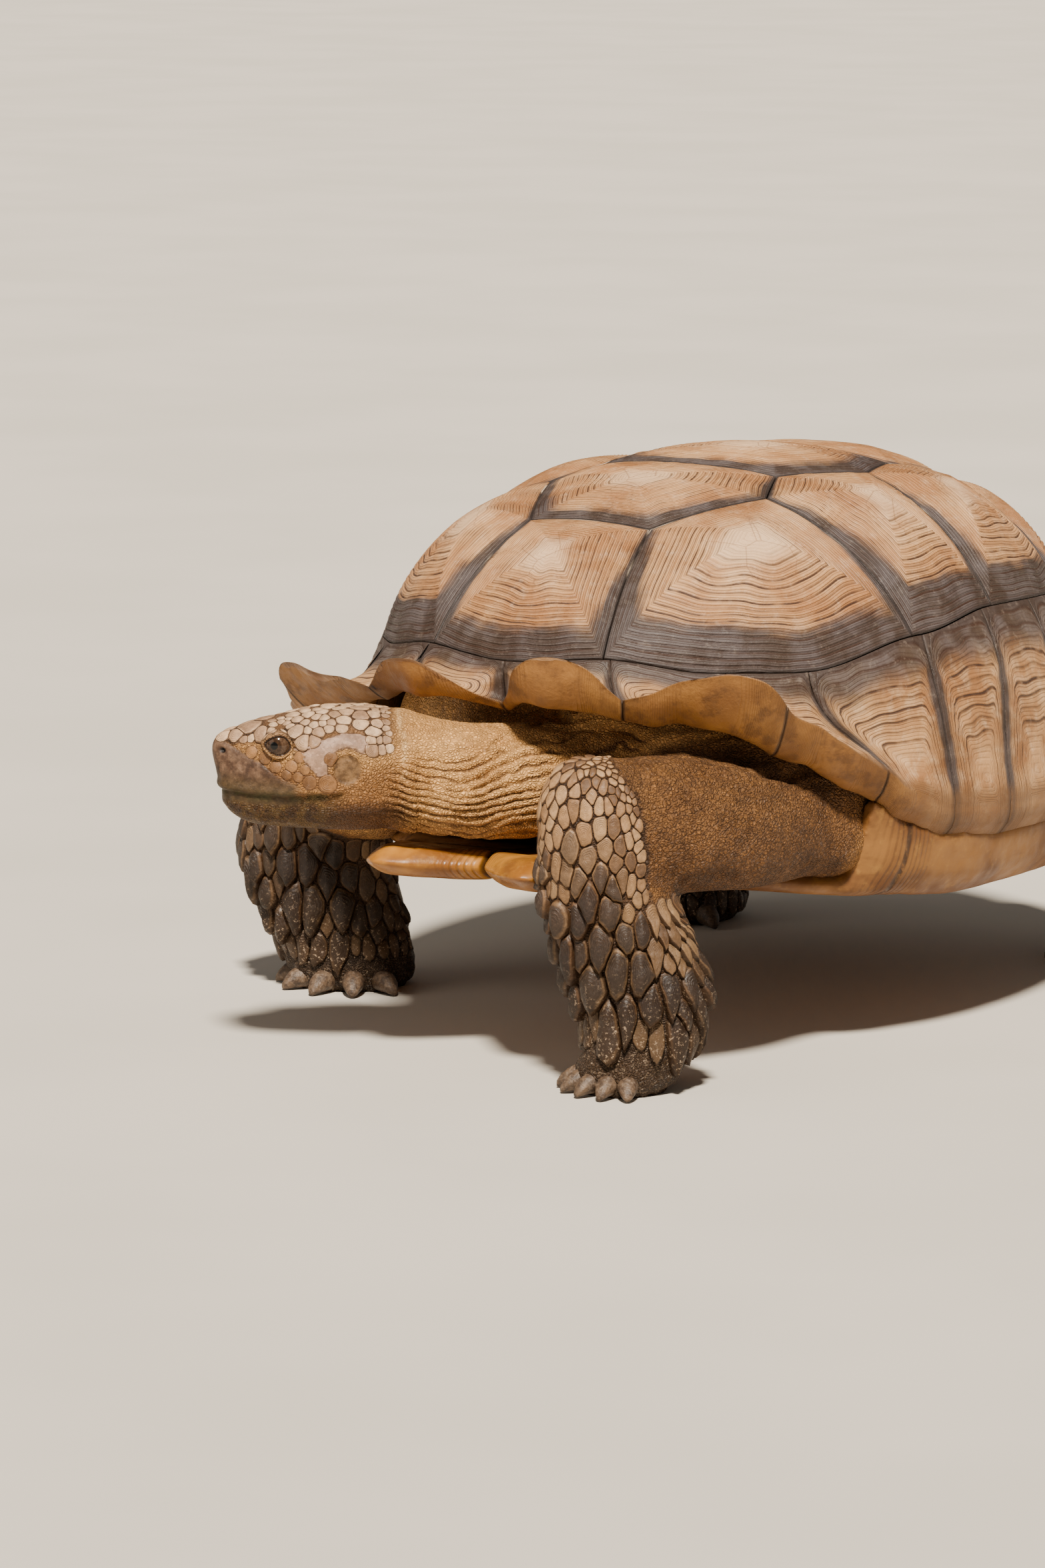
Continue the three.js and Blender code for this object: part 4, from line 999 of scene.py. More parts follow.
# %% Fill sockets and shoulders
# Each ball: where, and its radius, in millimetres
PADS = [
    ((100, -230, 194), 46), ((128, -184, 194), 47), ((158, -150, 178), 42), ((172, -158, 150), 32),
    ((62, -258, 180), 38), ((-110, -200, 178), 40), ((-160, -140, 170), 40),
]
PADS += [(tuple(eye), EYE_RADIUS + 0.6) for eye in EYE_MIDDLE.values()]
for place, radius in PADS:
    pad = bmesh.ops.create_icosphere(bm, subdivisions=3, radius=radius * MM)["verts"]
    bmesh.ops.translate(bm, vec=Vector(to_frame(place)), verts=pad)


# %% Wrap the flesh in one net
SKIN_NET = 3.6
skin = voxel_wrap(bm, "skin", SKIN_NET)
print("skin net:", len(skin.polygons), "faces")

# %% Relax and refine the net
def chosen(bm, test):
    """The points of the bmesh whose places, in millimetres, pass a test."""
    bm.verts.ensure_lookup_table()
    passed = test(from_frame(np.array([v.co for v in bm.verts])))
    return [v for v, good in zip(bm.verts, passed) if good]


def refine(bm, test):
    """Halves the net's squares where the test is passed."""
    inside = set(chosen(bm, test))
    edges = [edge for edge in bm.edges if edge.verts[0] in inside and edge.verts[1] in inside]
    bmesh.ops.subdivide_edges(bm, edges=edges, cuts=1, use_grid_fill=True)


def relax(bm, test, passes):
    points = chosen(bm, test)
    for _ in range(passes):
        bmesh.ops.smooth_vert(bm, verts=points, factor=0.5, use_axis_x=True, use_axis_y=True, use_axis_z=True)


def in_head(points):
    along, aside, height = head_places(points)
    return (along > -12) & (np.abs(aside) < 62) & (height > 130)


def in_neck(points):
    distance, run = along_path(points, NECK_PATH)
    return (distance < 74) & (run > 62) & (head_places(points)[0] > -170)


def in_face(points):
    along, aside, height = head_places(points)
    eye = np.hypot(along - EYE_PLACE[0], height - EYE_PLACE[2]) < 19
    mouth = (np.abs(height - mouth_height(along)) < 5) & (along > 30)
    return (along > 30) & (np.abs(aside) < 62) & (height > 130) & (eye | mouth | (along > 104))


def mouth_height(along):
    return keyed([(30, 188.5), (38, 188), (58, 186.6), (76, 185), (94, 185.6), (110, 187), (124, 187.5)], along)


bm = bmesh.new()
bm.from_mesh(skin)
relax(bm, lambda p: p[:, 2] > -9, 11)
relax(bm, lambda p: ~in_head(p), 16)
refine(bm, lambda p: in_head(p) | in_neck(p))
relax(bm, lambda p: in_head(p) | in_neck(p), 5)
refine(bm, in_face)
relax(bm, in_face, 3)


# the trunk's cut top, floor and flanks lie inside the shell, so big faces do there
def hidden(points):
    top = points[:, 2] > TRUNK_TOP - 5
    floor_side = (points[:, 0] / 178) ** 2 + ((points[:, 1] + 20) / 235) ** 2 < 1
    head_side = head_places(points)[0] > -20
    flank = (points[:, 1] > -95) & (points[:, 1] < 150)
    return (top | flank | (floor_side & (points[:, 2] < 128) & (points[:, 2] > 112))) & ~(head_side & in_head(points))


unseen = chosen(bm, hidden)
bmesh.ops.dissolve_limit(bm, angle_limit=math.radians(6), verts=unseen,
                         edges=list({edge for v in unseen for edge in v.link_edges}))
bmesh.ops.triangulate(bm, faces=[face for face in bm.faces if len(face.verts) > 4])
bm.to_mesh(skin)
bm.free()
print("skin net:", sum(len(face.vertices) - 2 for face in skin.polygons), "triangles, refined on the head")

# %% [markdown]
# Each form below is one small function of the points' places that says how far to press the
# skin in or out: eye sockets and lids, mouth, nostrils, ear drum, neck folds, toes. Adding them
# up moves every point along its normal, as fingers press clay.


# %% Press in the head's forms
HEAD_TRIM = 1.0  # takes back the copies' swelling on the head


def bump(distance, size):
    """A round bump: 1 in the middle, falling smoothly to 0."""
    return np.exp(-((distance / size) ** 2))


def eye_ring_at(along, height):
    """How far a place lies from the middle of the almond opening: 1 on its edge."""
    across, up = along - EYE_PLACE[0] + 1.0, height - EYE_PLACE[2] + 0.3
    across, up = across + 0.14 * up, up - 0.14 * across
    almond = np.abs(up) / (5.5 * np.clip(1 - np.abs(across / 12.5) ** 1.8, 0.12, 1))
    return (np.abs(across / 9.0) ** 2.4 + almond**2.2) ** 0.43


def lids(points, along, aside, height):
    """Draws the skin close over the eyeball, as lids, and opens it in an almond."""
    ring = eye_ring_at(along, height)
    ring = np.where((np.abs(aside) > 12) & (ring < 6), ring, 6.0)
    for side in (1, -1):
        away = points - EYE_MIDDLE[side]
        direction = unit(away + 1e-6)
        lid = EYE_RADIUS + 0.5 + 1.9 * bump(ring - 1.3, 0.3) - 0.5 * bump(ring - 1.85, 0.16) + 0.7 * bump(ring - 2.2, 0.25)
        lid = np.where(ring < 1, EYE_RADIUS + 1.0 - 5 * step_between(1.0, 0.8, ring), lid)
        close = step_between(2.9, 1.7, ring) * (aside * side > 0)
        points = points + close[:, None] * (EYE_MIDDLE[side] + direction * lid[:, None] - points)
    return points, ring


def mouth_form(along, height):
    """The closed mouth: a groove under the beak's overhanging edge."""
    gap = height - mouth_height(along)
    fades = step_between(34, 42, along)
    lip = 1.3 * bump(gap - 3.4, 2.6) - 1.3 * step_between(0, -2, gap) * bump(gap, 15)
    ridges = 0.5 * np.sin(along * 1.15) * bump(gap + 8, 5) * step_between(52, 62, along)
    return (-2.2 * bump(gap, 1.1) + lip + ridges) * fades


def tympanum_form(along, height):
    ring = ear_ring(along, height)
    ripples = 0.22 * np.cos(ring * 13) * bump(ring - 1.1, 0.5)
    return -1.7 * step_between(1.02, 0.82, ring) + 0.5 * bump(ring - 1.14, 0.12) + ripples


def ear_ring(along, height):
    """How far a place lies from the middle of the ear drum: 1 on its edge."""
    return np.hypot(along - 34.5, (height - 205) * 0.9) / 10


TEMPLE = np.array([[58, 0, 214.5], [48, 0, 219], [36, 0, 222.5], [26, 0, 222]])
TEMPLE_LOW = np.array([[56, 0, 212], [50.5, 0, 205.5]])


BEAK_EDGE = np.array([[113, 0, 221], [104.7, 0, 216], [91.6, 0, 208.5], [78.4, 0, 198.5], [62.6, 0, 193]])


def beak_crease(along, height):
    """The edge of the horny beak on each cheek."""
    flat = np.column_stack([along, np.zeros_like(along), height])
    distance, _ = along_path(flat, BEAK_EDGE)
    return -0.9 * bump(distance, 1.2)


def temple_share(along, height):
    """How far a place lies within the smooth bean-shaped scale on the temple."""
    flat = np.column_stack([along, np.zeros_like(along), height])
    upper, _ = along_path(flat, TEMPLE)
    lower, _ = along_path(flat, TEMPLE_LOW)
    share = np.maximum(step_between(7.0, 6.0, upper), step_between(6.6, 5.6, lower))
    return share * step_between(1.25, 1.4, ear_ring(along, height))


def neck_folds(points, along):
    """Fine folds that fan out backwards from the corner of the jaw, running into one another."""
    distance, run = along_path(points, NECK_PATH)
    back = np.maximum(0, -along)
    middle_line = 196 - 14 * bump(back - 40, 34) + 0.02 * back
    spacing = 4.8 + 0.028 * np.minimum(back, 90)
    wave = (points[:, 2] - middle_line) / spacing + 0.8 * lumps(points, 26, 4.0) + 0.22 * lumps(points, 9, 2.0)
    side = step_between(92, 72, distance) * step_between(14, -3, along) * step_between(214, 200, points[:, 2] - 0.16 * back)
    deep = -3.2 * groove(wave, 0.3) * np.clip(0.7 + 0.8 * lumps(points, 20, 8.0), 0.15, 1.2)
    cross = -0.4 * groove(run / 7 + 1.6 * lumps(points, 22, 1.0), 0.2) * step_between(8, -4, along) * step_between(92, 72, distance)
    return deep * side * ~(along < -165) + cross * (1 - side), wave, side


ARM = [(138, -120, 162), (152, -188, 163), (150, -240, 168), (134, -288, 174), (108, -328, 182)]


def arm_folds(points):
    """Long slack folds over the arm and the pocket behind the neck, and creases in the elbow."""
    distance, run = along_path(points, ARM)
    above = step_between(8, 34, points[:, 2] - 168) * (points[:, 0] > 10) * (points[:, 2] < 262)
    wave = (points[:, 2] + 0.12 * points[:, 1]) / 9 + 0.9 * lumps(points, 34, 3.0) + 0.3 * lumps(points, 12, 1.0)
    off_leg = step_between(46, 60, np.hypot(points[:, 0] - 104, points[:, 1] + 334))
    long_folds = -4.2 * groove(wave, 0.32) * np.clip(0.6 + 0.9 * lumps(points, 30, 6.0), 0.2, 1.3) * above * off_leg
    near = step_between(62, 50, distance) * (points[:, 2] > 118)
    wave = run / 10 + 0.03 * points[:, 2] + 0.9 * lumps(points, 30, 9.0)
    creases = -1.5 * groove(wave, 0.3) * np.clip(0.35 + 1.1 * lumps(points, 26, 4.0), 0, 1) * near
    return long_folds + creases, near


points = from_frame(coordinates(skin))
out = normals(skin)
along, aside, height = head_places(points)
head_mask = step_between(-6, 6, along) * (np.abs(aside) < 62) * (height > 130)
side_face = step_between(0.25, 0.6, np.abs(out @ head_left))
temple = temple_share(along, height) * side_face * head_mask * (along > -5)
press = head_mask * (mouth_form(along, height) - HEAD_TRIM)
press += head_mask * 2.0 * bump(np.hypot((along - 82) / 1.6, height - 229), 7) * step_between(0.2, 0.5, np.abs(out @ head_left))
temple_edge = bump(temple - 0.5, 0.45)
press += head_mask * side_face * (tympanum_form(along, height) * (1 - temple) + 1.0 * temple - 0.9 * temple_edge)
press += head_mask * side_face * beak_crease(along, height)
folds, fold_wave, fold_share = neck_folds(points, along)
folds_of_arm, arm_share = arm_folds(points)
press += folds + np.where(in_head(points), 0, folds_of_arm * (1 - fold_share * step_between(60, 30, points[:, 0])))
nostril = np.hypot(np.hypot(along - 116.3, (np.abs(aside) - 11.5) / 2), height - 214.8)
press -= 3.2 * bump(nostril, 1.9) * head_mask
press += head_mask * 0.45 * lumps(points, 14, 3.0)


# %% Press in the feet and legs
def toe_forms(points):
    """Round toes where the claws grow."""
    push = np.zeros(len(points))
    for centre, toes, reach, count, spread in CLAW_FANS:
        for direction in toe_directions(toes, count, spread):
            root = np.array([*centre, 13.0]) + direction * (reach - 3)
            push += 4.2 * bump(np.linalg.norm((points - root) * [1, 1, 0.75], axis=1), 9)
    return push


# Each foot's claws: middle of the foot, heading of the middle toe, reach, number, spread to each side
CLAW_FANS = [
    ((121, -323), -14, 31, 5, 46), ((-235, -133), 2, 41, 5, 62), ((180, 258), 8, 46, 4, 62), ((-180, 218), -8, 46, 4, 62),
]


def toe_directions(toes, count, spread):
    return [np.append(heading(toes + turn), 0.0) for turn in np.linspace(-spread, spread, count)]


on_leg = (height < 150) & ~in_head(points)
press += toe_forms(points)
worn = 0.6 + step_between(52, 36, height)
press += on_leg * worn * (1.3 * lumps(points, 17, 6.0) + 0.9 * lumps(points, 7, 9.0)) * step_between(0, 8, height)
SCALE_ROOM = 1.6  # the skin of the legs lies this deep under the scales
press -= step_between(225, 200, height) * SCALE_ROOM * ~in_head(points)
points = points + out * press[:, None]
lidded, eye_ring = lids(points, along, aside, height)
points = np.where(head_mask[:, None] > 0.5, lidded, points)
points[:, 2] = np.where(points[:, 2] < 2.6, 0.0, points[:, 2])
move_to(skin, to_frame(points))
store(skin, "temple", temple)
store(skin, "eye_ring", np.where(head_mask > 0.5, eye_ring, 6))
gap = height - mouth_height(along)
edge_height = np.interp(along, BEAK_EDGE[::-1, 0], BEAK_EDGE[::-1, 2])
beak = head_mask * step_between(60, 72, along) * step_between(1, -1, height - edge_height) * step_between(-9, -5, gap)
jaw = head_mask * step_between(2, -3, gap) * step_between(30, 60, along)
store(skin, "beak", np.clip(beak, 0, 1))
store(skin, "jaw", np.clip(jaw, 0, 1))
store(skin, "fold", fold_wave)
store(skin, "collar", bump(along + 3 + 3 * lumps(points, 14, 2.0), 1.8) * (height > 196) * (np.abs(aside) < 62))
store(skin, "folded", np.clip(fold_share, 0, 1))
store(skin, "arm", np.clip(arm_share, 0, 1) * ~in_head(points))
store(skin, "mouth", head_mask * bump(gap + 0.5, 3.2) * step_between(34, 44, along))
ear = step_between(1.02, 0.9, ear_ring(along, height))
store(skin, "ear", ear * (1 - temple) * side_face * head_mask)
store(skin, "face", step_between(-16, 12, along) * (np.abs(aside) < 62) * (height > 130))
store(skin, "stain", head_mask * step_between(17, 3, gap) * step_between(-20, -8, gap))
store(skin, "nostril", bump(nostril, 2.2) * head_mask)
print("skin pressed; lowest", points[:, 2].min().round(2))

# %% [markdown]
# Between the scales a tortoise's skin is leathery and covered with small grains. It is golden
# on the neck, cream on the crown and brown on the cheeks, and the feet are stained and dusted by
# the soil. Painted shade darkens the throat under the jaw, the arm under the shell's lip, where
# painted sheen lies in patches, and the skin towards the ground; the brown of the lower skin is
# partly painted shade too. Two cell patterns give the grains: one for their colour, one for
# their relief.


# %% Leather of the skin
def leather():
    paint = Paint("skin_leather", roughness=0.62, specular=0.28, deepen=1.26)
    height = paint.tree.nodes.new("ShaderNodeSeparateXYZ")
    paint.tree.links.new(paint.place, height.inputs[0])
    height = height.outputs["Z"]
    warped = paint.tree.nodes.new("ShaderNodeVectorMath")
    warped.operation = "MULTIPLY_ADD"
    swirl = paint.tree.nodes.new("ShaderNodeTexNoise")
    swirl.inputs["Scale"].default_value = 60
    paint.set_input(swirl.inputs["Vector"], paint.place)
    paint.tree.links.new(swirl.outputs["Color"], warped.inputs[0])
    warped.inputs[1].default_value = (0.006, 0.006, 0.006)
    paint.tree.links.new(paint.place, warped.inputs[2])
    where = warped.outputs[0]
    patches = paint.clouds(0.035, 4)
    gold = paint.mix(paint.span(patches, 0.35, 0.65), (0.76, 0.46, 0.19), (0.58, 0.325, 0.12))
    brown = paint.mix(paint.span(patches, 0.35, 0.65), (0.38, 0.19, 0.062), (0.5, 0.28, 0.1))
    # the lower skin turns brown: partly its own colour, partly painted shade under the neck and body
    low = paint.span(height, 0.13, 0.19, 1, 0)
    colour = paint.mix(low, gold, brown)
    # painted shade: the arm is darkened as if under the shell's lip, with lighter patches of painted sheen
    arm_shade_and_sheen = paint.mix(paint.span(paint.clouds(0.022, 5, 0.65), 0.36, 0.64), (0.25, 0.125, 0.045), (0.13, 0.062, 0.023))
    colour = paint.mix(paint.math("MULTIPLY", paint.attribute("arm"), 0.9), colour, arm_shade_and_sheen)
    crown = paint.math("MULTIPLY", paint.attribute("face"), paint.span(height, 0.2, 0.235))
    colour = paint.mix(crown, colour, (0.24, 0.135, 0.07))
    colour = paint.mix(paint.math("MULTIPLY", paint.attribute("joint"), 0.94), colour, (0.062, 0.036, 0.022))
    cheek = paint.math("MULTIPLY", paint.attribute("face"), paint.span(height, 0.215, 0.2))
    colour = paint.mix(paint.math("MULTIPLY", cheek, 0.7), colour, (0.24, 0.11, 0.04))
    # painted shade: the throat under the jaw is darkened
    throat_shade = paint.math("MULTIPLY", paint.attribute("face"), paint.span(height, 0.186, 0.176))
    colour = paint.mix(paint.math("MULTIPLY", throat_shade, 0.85), colour, (0.11, 0.05, 0.016))
    mauve = paint.mix(paint.span(paint.clouds(0.008, 4), 0.3, 0.7), (0.38, 0.265, 0.205), (0.27, 0.18, 0.135))
    colour = paint.mix(paint.math("MULTIPLY", paint.attribute("temple"), 0.85), colour, mauve)
    outline_of_temple = paint.math("MULTIPLY", paint.attribute("temple"), paint.span(paint.attribute("temple"), 0.55, 0.95, 1, 0))
    colour = paint.mix(paint.attribute("ear"), colour, paint.mix(paint.span(paint.clouds(0.005, 4), 0.35, 0.65), (0.13, 0.075, 0.034), (0.24, 0.145, 0.07)))
    colour = paint.mix(paint.math("MULTIPLY", outline_of_temple, 1.6), colour, (0.13, 0.075, 0.045))
    colour = paint.mix(paint.math("MULTIPLY", paint.attribute("jaw"), 0.8), colour, paint.mix(paint.span(paint.clouds(0.007, 4), 0.4, 0.6), (0.06, 0.032, 0.01), (0.17, 0.11, 0.034)))
    horn = paint.mix(paint.span(paint.clouds(0.006, 4), 0.35, 0.65), (0.09, 0.05, 0.03), (0.2, 0.125, 0.08))
    horn = paint.mix(paint.math("MULTIPLY", paint.attribute("stain"), 0.85), horn, (0.085, 0.055, 0.022))
    colour = paint.mix(paint.attribute("beak"), colour, horn)
    # grains, each a little lighter or darker, with dark lines between
    grain = paint.cells(0.0021, "F1", where, "Color")
    split = paint.tree.nodes.new("ShaderNodeSeparateColor")
    paint.tree.links.new(grain, split.inputs[0])
    colour = paint.shade(colour, paint.span(split.outputs[0], 0, 1, 0.84, 1.14))
    border = paint.cells(0.0021, "DISTANCE_TO_EDGE", where)
    smooth = paint.math("MAXIMUM", paint.math("MAXIMUM", paint.attribute("temple"), paint.attribute("ear")), paint.attribute("beak"))
    grained = paint.math("SUBTRACT", 1.0, smooth)
    dark_line = paint.math("MULTIPLY", paint.span(border, 0.02, 0.16, 0.42, 0), grained)
    colour = paint.mix(dark_line, colour, (0.16, 0.08, 0.03))
    # coarser grains on the arm, with soil between them
    coarse = paint.cells(0.0036, "DISTANCE_TO_EDGE", where)
    coarse_line = paint.math("MULTIPLY", paint.span(coarse, 0.02, 0.2, 0.42, 0), paint.attribute("arm"))
    colour = paint.mix(coarse_line, colour, (0.045, 0.018, 0.006))
    # the folds of the neck, with shade in them, and finer ones between
    fold = paint.math("ADD", paint.attribute("fold"), paint.span(paint.clouds(0.012, 3), 0, 1, -0.35, 0.35))
    creases = paint.math("ABSOLUTE", paint.math("SUBTRACT", paint.math("FRACT", fold), 0.5))
    crease = paint.math("MULTIPLY", paint.span(creases, 0.04, 0.2, 1, 0), paint.attribute("folded"))
    crease = paint.math("MULTIPLY", crease, paint.span(paint.clouds(0.02, 3), 0.3, 0.55))
    colour = paint.mix(paint.math("MULTIPLY", crease, 0.75), colour, (0.12, 0.05, 0.015))
    # the pale ring of skin where the neck meets the head
    ring_line = paint.math("MULTIPLY", paint.attribute("collar"), paint.span(paint.clouds(0.006, 3), 0.3, 0.6))
    colour = paint.mix(paint.math("MULTIPLY", ring_line, 0.6), colour, (0.8, 0.56, 0.3))
    # a greenish stain where the beak closes, and the nostril painted near black as shade in its opening
    stain_of_mouth = paint.math("MULTIPLY", paint.attribute("mouth"), paint.span(paint.clouds(0.01, 3), 0.38, 0.6))
    colour = paint.mix(paint.math("MULTIPLY", stain_of_mouth, 0.6), colour, (0.085, 0.085, 0.03))
    colour = paint.mix(paint.span(paint.attribute("nostril"), 0.2, 0.6), colour, (0.02, 0.012, 0.008))
    # soil on the feet
    stain = paint.math("ADD", height, paint.math("MULTIPLY", paint.clouds(0.02, 3), -0.04))
    colour = paint.mix(paint.span(stain, 0.005, 0.05, 0.88, 0), colour, (0.095, 0.058, 0.034))
    dust = paint.math("MULTIPLY", paint.span(paint.clouds(0.0026, 4, 0.8), 0.55, 0.62), paint.span(stain, 0, 0.06, 0.8, 0.06))
    colour = paint.mix(dust, colour, (0.55, 0.42, 0.3))
    # painted shade: the skin grows darker towards the ground, under the body
    colour = paint.shade(colour, paint.span(height, 0.02, 0.14, 0.55, 1))
    # the inner lids
    ring = paint.attribute("eye_ring")
    colour = paint.mix(paint.span(ring, 0.98, 1.1, 1, 0), colour, (0.05, 0.025, 0.012))
    pale_lid = paint.math("MULTIPLY", paint.span(ring, 1.02, 1.12), paint.span(ring, 1.22, 1.4, 1, 0))
    colour = paint.mix(paint.math("MULTIPLY", pale_lid, 0.3), colour, (0.4, 0.27, 0.16))
    # painted shade in the crease round the lids
    lid_crease = paint.math("ABSOLUTE", paint.math("SUBTRACT", ring, 1.75))
    colour = paint.mix(paint.span(lid_crease, 0.05, 0.2, 0.7, 0), colour, (0.13, 0.065, 0.028))
    relief = paint.math("MULTIPLY", paint.span(border, 0, 0.3), grained)
    relief = paint.math("ADD", relief, paint.math("MULTIPLY", paint.clouds(0.0016, 3), 0.35))
    relief = paint.math("SUBTRACT", relief, paint.math("MULTIPLY", crease, 0.8))
    relief = paint.math("SUBTRACT", relief, paint.math("MULTIPLY", coarse_line, 1.2))
    return paint.finish(colour, relief, 0.0011, paint.span(paint.clouds(0.008, 3), 0.3, 0.7, 0.5, 0.72))


skin_leather = leather()
skin.shade_smooth()
finish_piece("skin", skin, skin_leather, "skin", *FLESH)

# %% [markdown]
# ## Eyes
#
# A tortoise's eye is almost all dark iris, with a round pupil that hardly shows, under a wet
# cornea. Each is a ball whose pole points where the eye looks, so plain rings round the pole
# give pupil, iris and the sliver of brown white at the edge.

# %% Make the eyes
LOOK_AHEAD, LOOK_DOWN = 0.42, 0.06


def wet_eye():
    paint = Paint("eye_wet", roughness=0.12, specular=0.25)
    paint.shader.inputs["Coat Weight"].default_value = 0.18
    paint.shader.inputs["Coat Roughness"].default_value = 0.03
    ring = paint.attribute("ring")
    flecks = paint.clouds(0.0012, 4)
    iris = paint.mix(paint.span(flecks, 0.35, 0.65), (0.022, 0.011, 0.006), (0.045, 0.022, 0.011))
    colour = paint.mix(paint.span(ring, 0.24, 0.29), (0.003, 0.003, 0.003), iris)
    white = paint.mix(paint.span(flecks, 0.35, 0.65), (0.05, 0.026, 0.014), (0.085, 0.048, 0.027))
    colour = paint.mix(paint.span(ring, 0.5, 0.58), colour, white)
    return paint.finish(colour)


eye_wet = wet_eye()
for side, node in ((1, "eye_left"), (-1, "eye_right")):
    bm = bmesh.new()
    bmesh.ops.create_uvsphere(bm, u_segments=40, v_segments=32, radius=EYE_RADIUS * MM)
    gaze = unit(side * head_left + LOOK_AHEAD * head_ahead + np.array([0, 0, LOOK_DOWN]))
    ring = [math.acos(max(-1, min(1, v.co.z / (EYE_RADIUS * MM)))) for v in bm.verts]
    bmesh.ops.rotate(bm, verts=bm.verts, matrix=Vector(gaze).to_track_quat("Z", "Y").to_matrix())
    centre = to_frame(on_head(EYE_PLACE[0], side * EYE_PLACE[1], EYE_PLACE[2]))
    bmesh.ops.translate(bm, vec=Vector(centre), verts=bm.verts)
    mesh = mesh_from(bm, f"{node}_ball")
    store(mesh, "ring", np.array(ring))
    finish_piece(f"{node}_ball", mesh, eye_wet, "eye", node)

# %% [markdown]
# ## Claws
#
# Four or five blunt claws stand round the front of each foot, worn short and flat by walking.
# One claw is a ring extruded forwards five times, each time smaller and a little lower, with a
# rounded end.

# %% Make the claws
CLAW_RINGS = [(0, 1.0, 0), (5, 1.08, 0.6), (11, 0.98, 0.2), (16, 0.8, -1.2), (20, 0.55, -3.4), (22.5, 0.28, -5.4)]


def one_claw(bm, root, direction, radius):
    """A blunt claw from its root towards a direction, its underside flat on the ground."""
    side = Vector((-direction[1], direction[0], 0))
    turn = Matrix((side, (0, 0, 1), Vector(direction))).transposed().to_4x4()
    ring = bmesh.ops.create_circle(bm, segments=14, radius=radius, matrix=Matrix.Translation(Vector(root)) @ turn)["verts"]
    edges = list({edge for v in ring for edge in v.link_edges})
    bmesh.ops.contextual_create(bm, geom=edges)
    made = list(ring)
    last_run, last_size, last_rise = CLAW_RINGS[0]
    for run, size, rise in CLAW_RINGS[1:]:
        grown = bmesh.ops.extrude_edge_only(bm, edges=edges)["geom"]
        ring = [part for part in grown if isinstance(part, bmesh.types.BMVert)]
        edges = [part for part in grown if isinstance(part, bmesh.types.BMEdge)]
        step = Vector(direction) * (run - last_run) + Vector((0, 0, rise - last_rise))
        bmesh.ops.translate(bm, vec=step, verts=ring)
        middle = sum((v.co for v in ring), Vector()) / len(ring)
        share = size / last_size
        bmesh.ops.scale(bm, vec=(share, share, share), space=Matrix.Translation(-middle), verts=ring)
        made += ring
        last_run, last_size, last_rise = run, size, rise
    bmesh.ops.contextual_create(bm, geom=edges)
    for v in made:
        v.co.z = max(v.co.z, 0.15)


def claw_horn():
    paint = Paint("claw_horn", roughness=0.5)
    along = paint.clouds(0.004, 4, 0.6)
    colour = paint.mix(paint.span(along, 0.35, 0.65), (0.045, 0.027, 0.017), (0.11, 0.068, 0.04))
    dust = paint.span(paint.clouds(0.003, 4, 0.7), 0.48, 0.66, 0, 0.22)
    colour = paint.mix(dust, colour, (0.38, 0.28, 0.2))
    return paint.finish(colour, paint.clouds(0.0015, 4), 0.0006)


bm = bmesh.new()
for centre, toes, reach, count, spread in CLAW_FANS:
    radius = 7 if reach < 40 else 7.6
    for direction in toe_directions(toes, count, spread):
        one_claw(bm, np.array([*centre, 8.5]) + direction * (reach - 6), direction, radius)
bmesh.ops.recalc_face_normals(bm, faces=bm.faces)
claws = mesh_from(bm, "claws")
move_to(claws, to_frame(coordinates(claws)))
finish_piece("claws", claws, claw_horn(), "skin")
print("claws and eyes made")

# %% [markdown]
# ## Scales
#
# Scales pave the legs and the crown like cobbles: small and flat where the skin must bend,
# large, domed and pointed down the front of the forelegs, where they are armour. Copying one
# scale on a grid would look like knitwear. Instead points are spread over the skin and pushed
# apart until they sit evenly, nearer together where scales are small, and each scale fills the
# room between its point and its neighbours. All start as one small disc of rings.

# %% One scale
SCALE_SIDES = 14
SCALE_RINGS = [(1.0, -1.2), (0.98, 0.12), (0.87, 0.56), (0.6, 0.88), (0.28, 1.0)]  # reach, height


def scale_template():
    """A disc of rings of unit reach, its height in thicknesses, with its middle closed."""
    bm = bmesh.new()
    ring = bmesh.ops.create_circle(bm, segments=SCALE_SIDES, radius=1)["verts"]
    edges = list(bm.edges)
    bmesh.ops.translate(bm, vec=(0, 0, SCALE_RINGS[0][1]), verts=ring)
    for (reach, height), (next_reach, next_height) in zip(SCALE_RINGS, SCALE_RINGS[1:]):
        grown = bmesh.ops.extrude_edge_only(bm, edges=edges)["geom"]
        ring = [part for part in grown if isinstance(part, bmesh.types.BMVert)]
        edges = [part for part in grown if isinstance(part, bmesh.types.BMEdge)]
        share = next_reach / reach
        bmesh.ops.scale(bm, vec=(share, share, 1), verts=ring)
        bmesh.ops.translate(bm, vec=(0, 0, next_height - height), verts=ring)
    middle = bmesh.ops.contextual_create(bm, geom=edges)["faces"]
    bmesh.ops.poke(bm, faces=middle)
    bmesh.ops.recalc_face_normals(bm, faces=bm.faces)
    return mesh_from(bm, "scale")


one_scale = scale_template()
print("one scale:", len(one_scale.polygons), "faces")


# %% Spread points over the skin
def triangles_of(mesh):
    """Corners of every triangle of a mesh, in millimetres."""
    mesh.calc_loop_triangles()
    corners = np.empty(len(mesh.loop_triangles) * 3, dtype=np.int32)
    mesh.loop_triangles.foreach_get("vertices", corners)
    return from_frame(coordinates(mesh))[corners.reshape(-1, 3)]


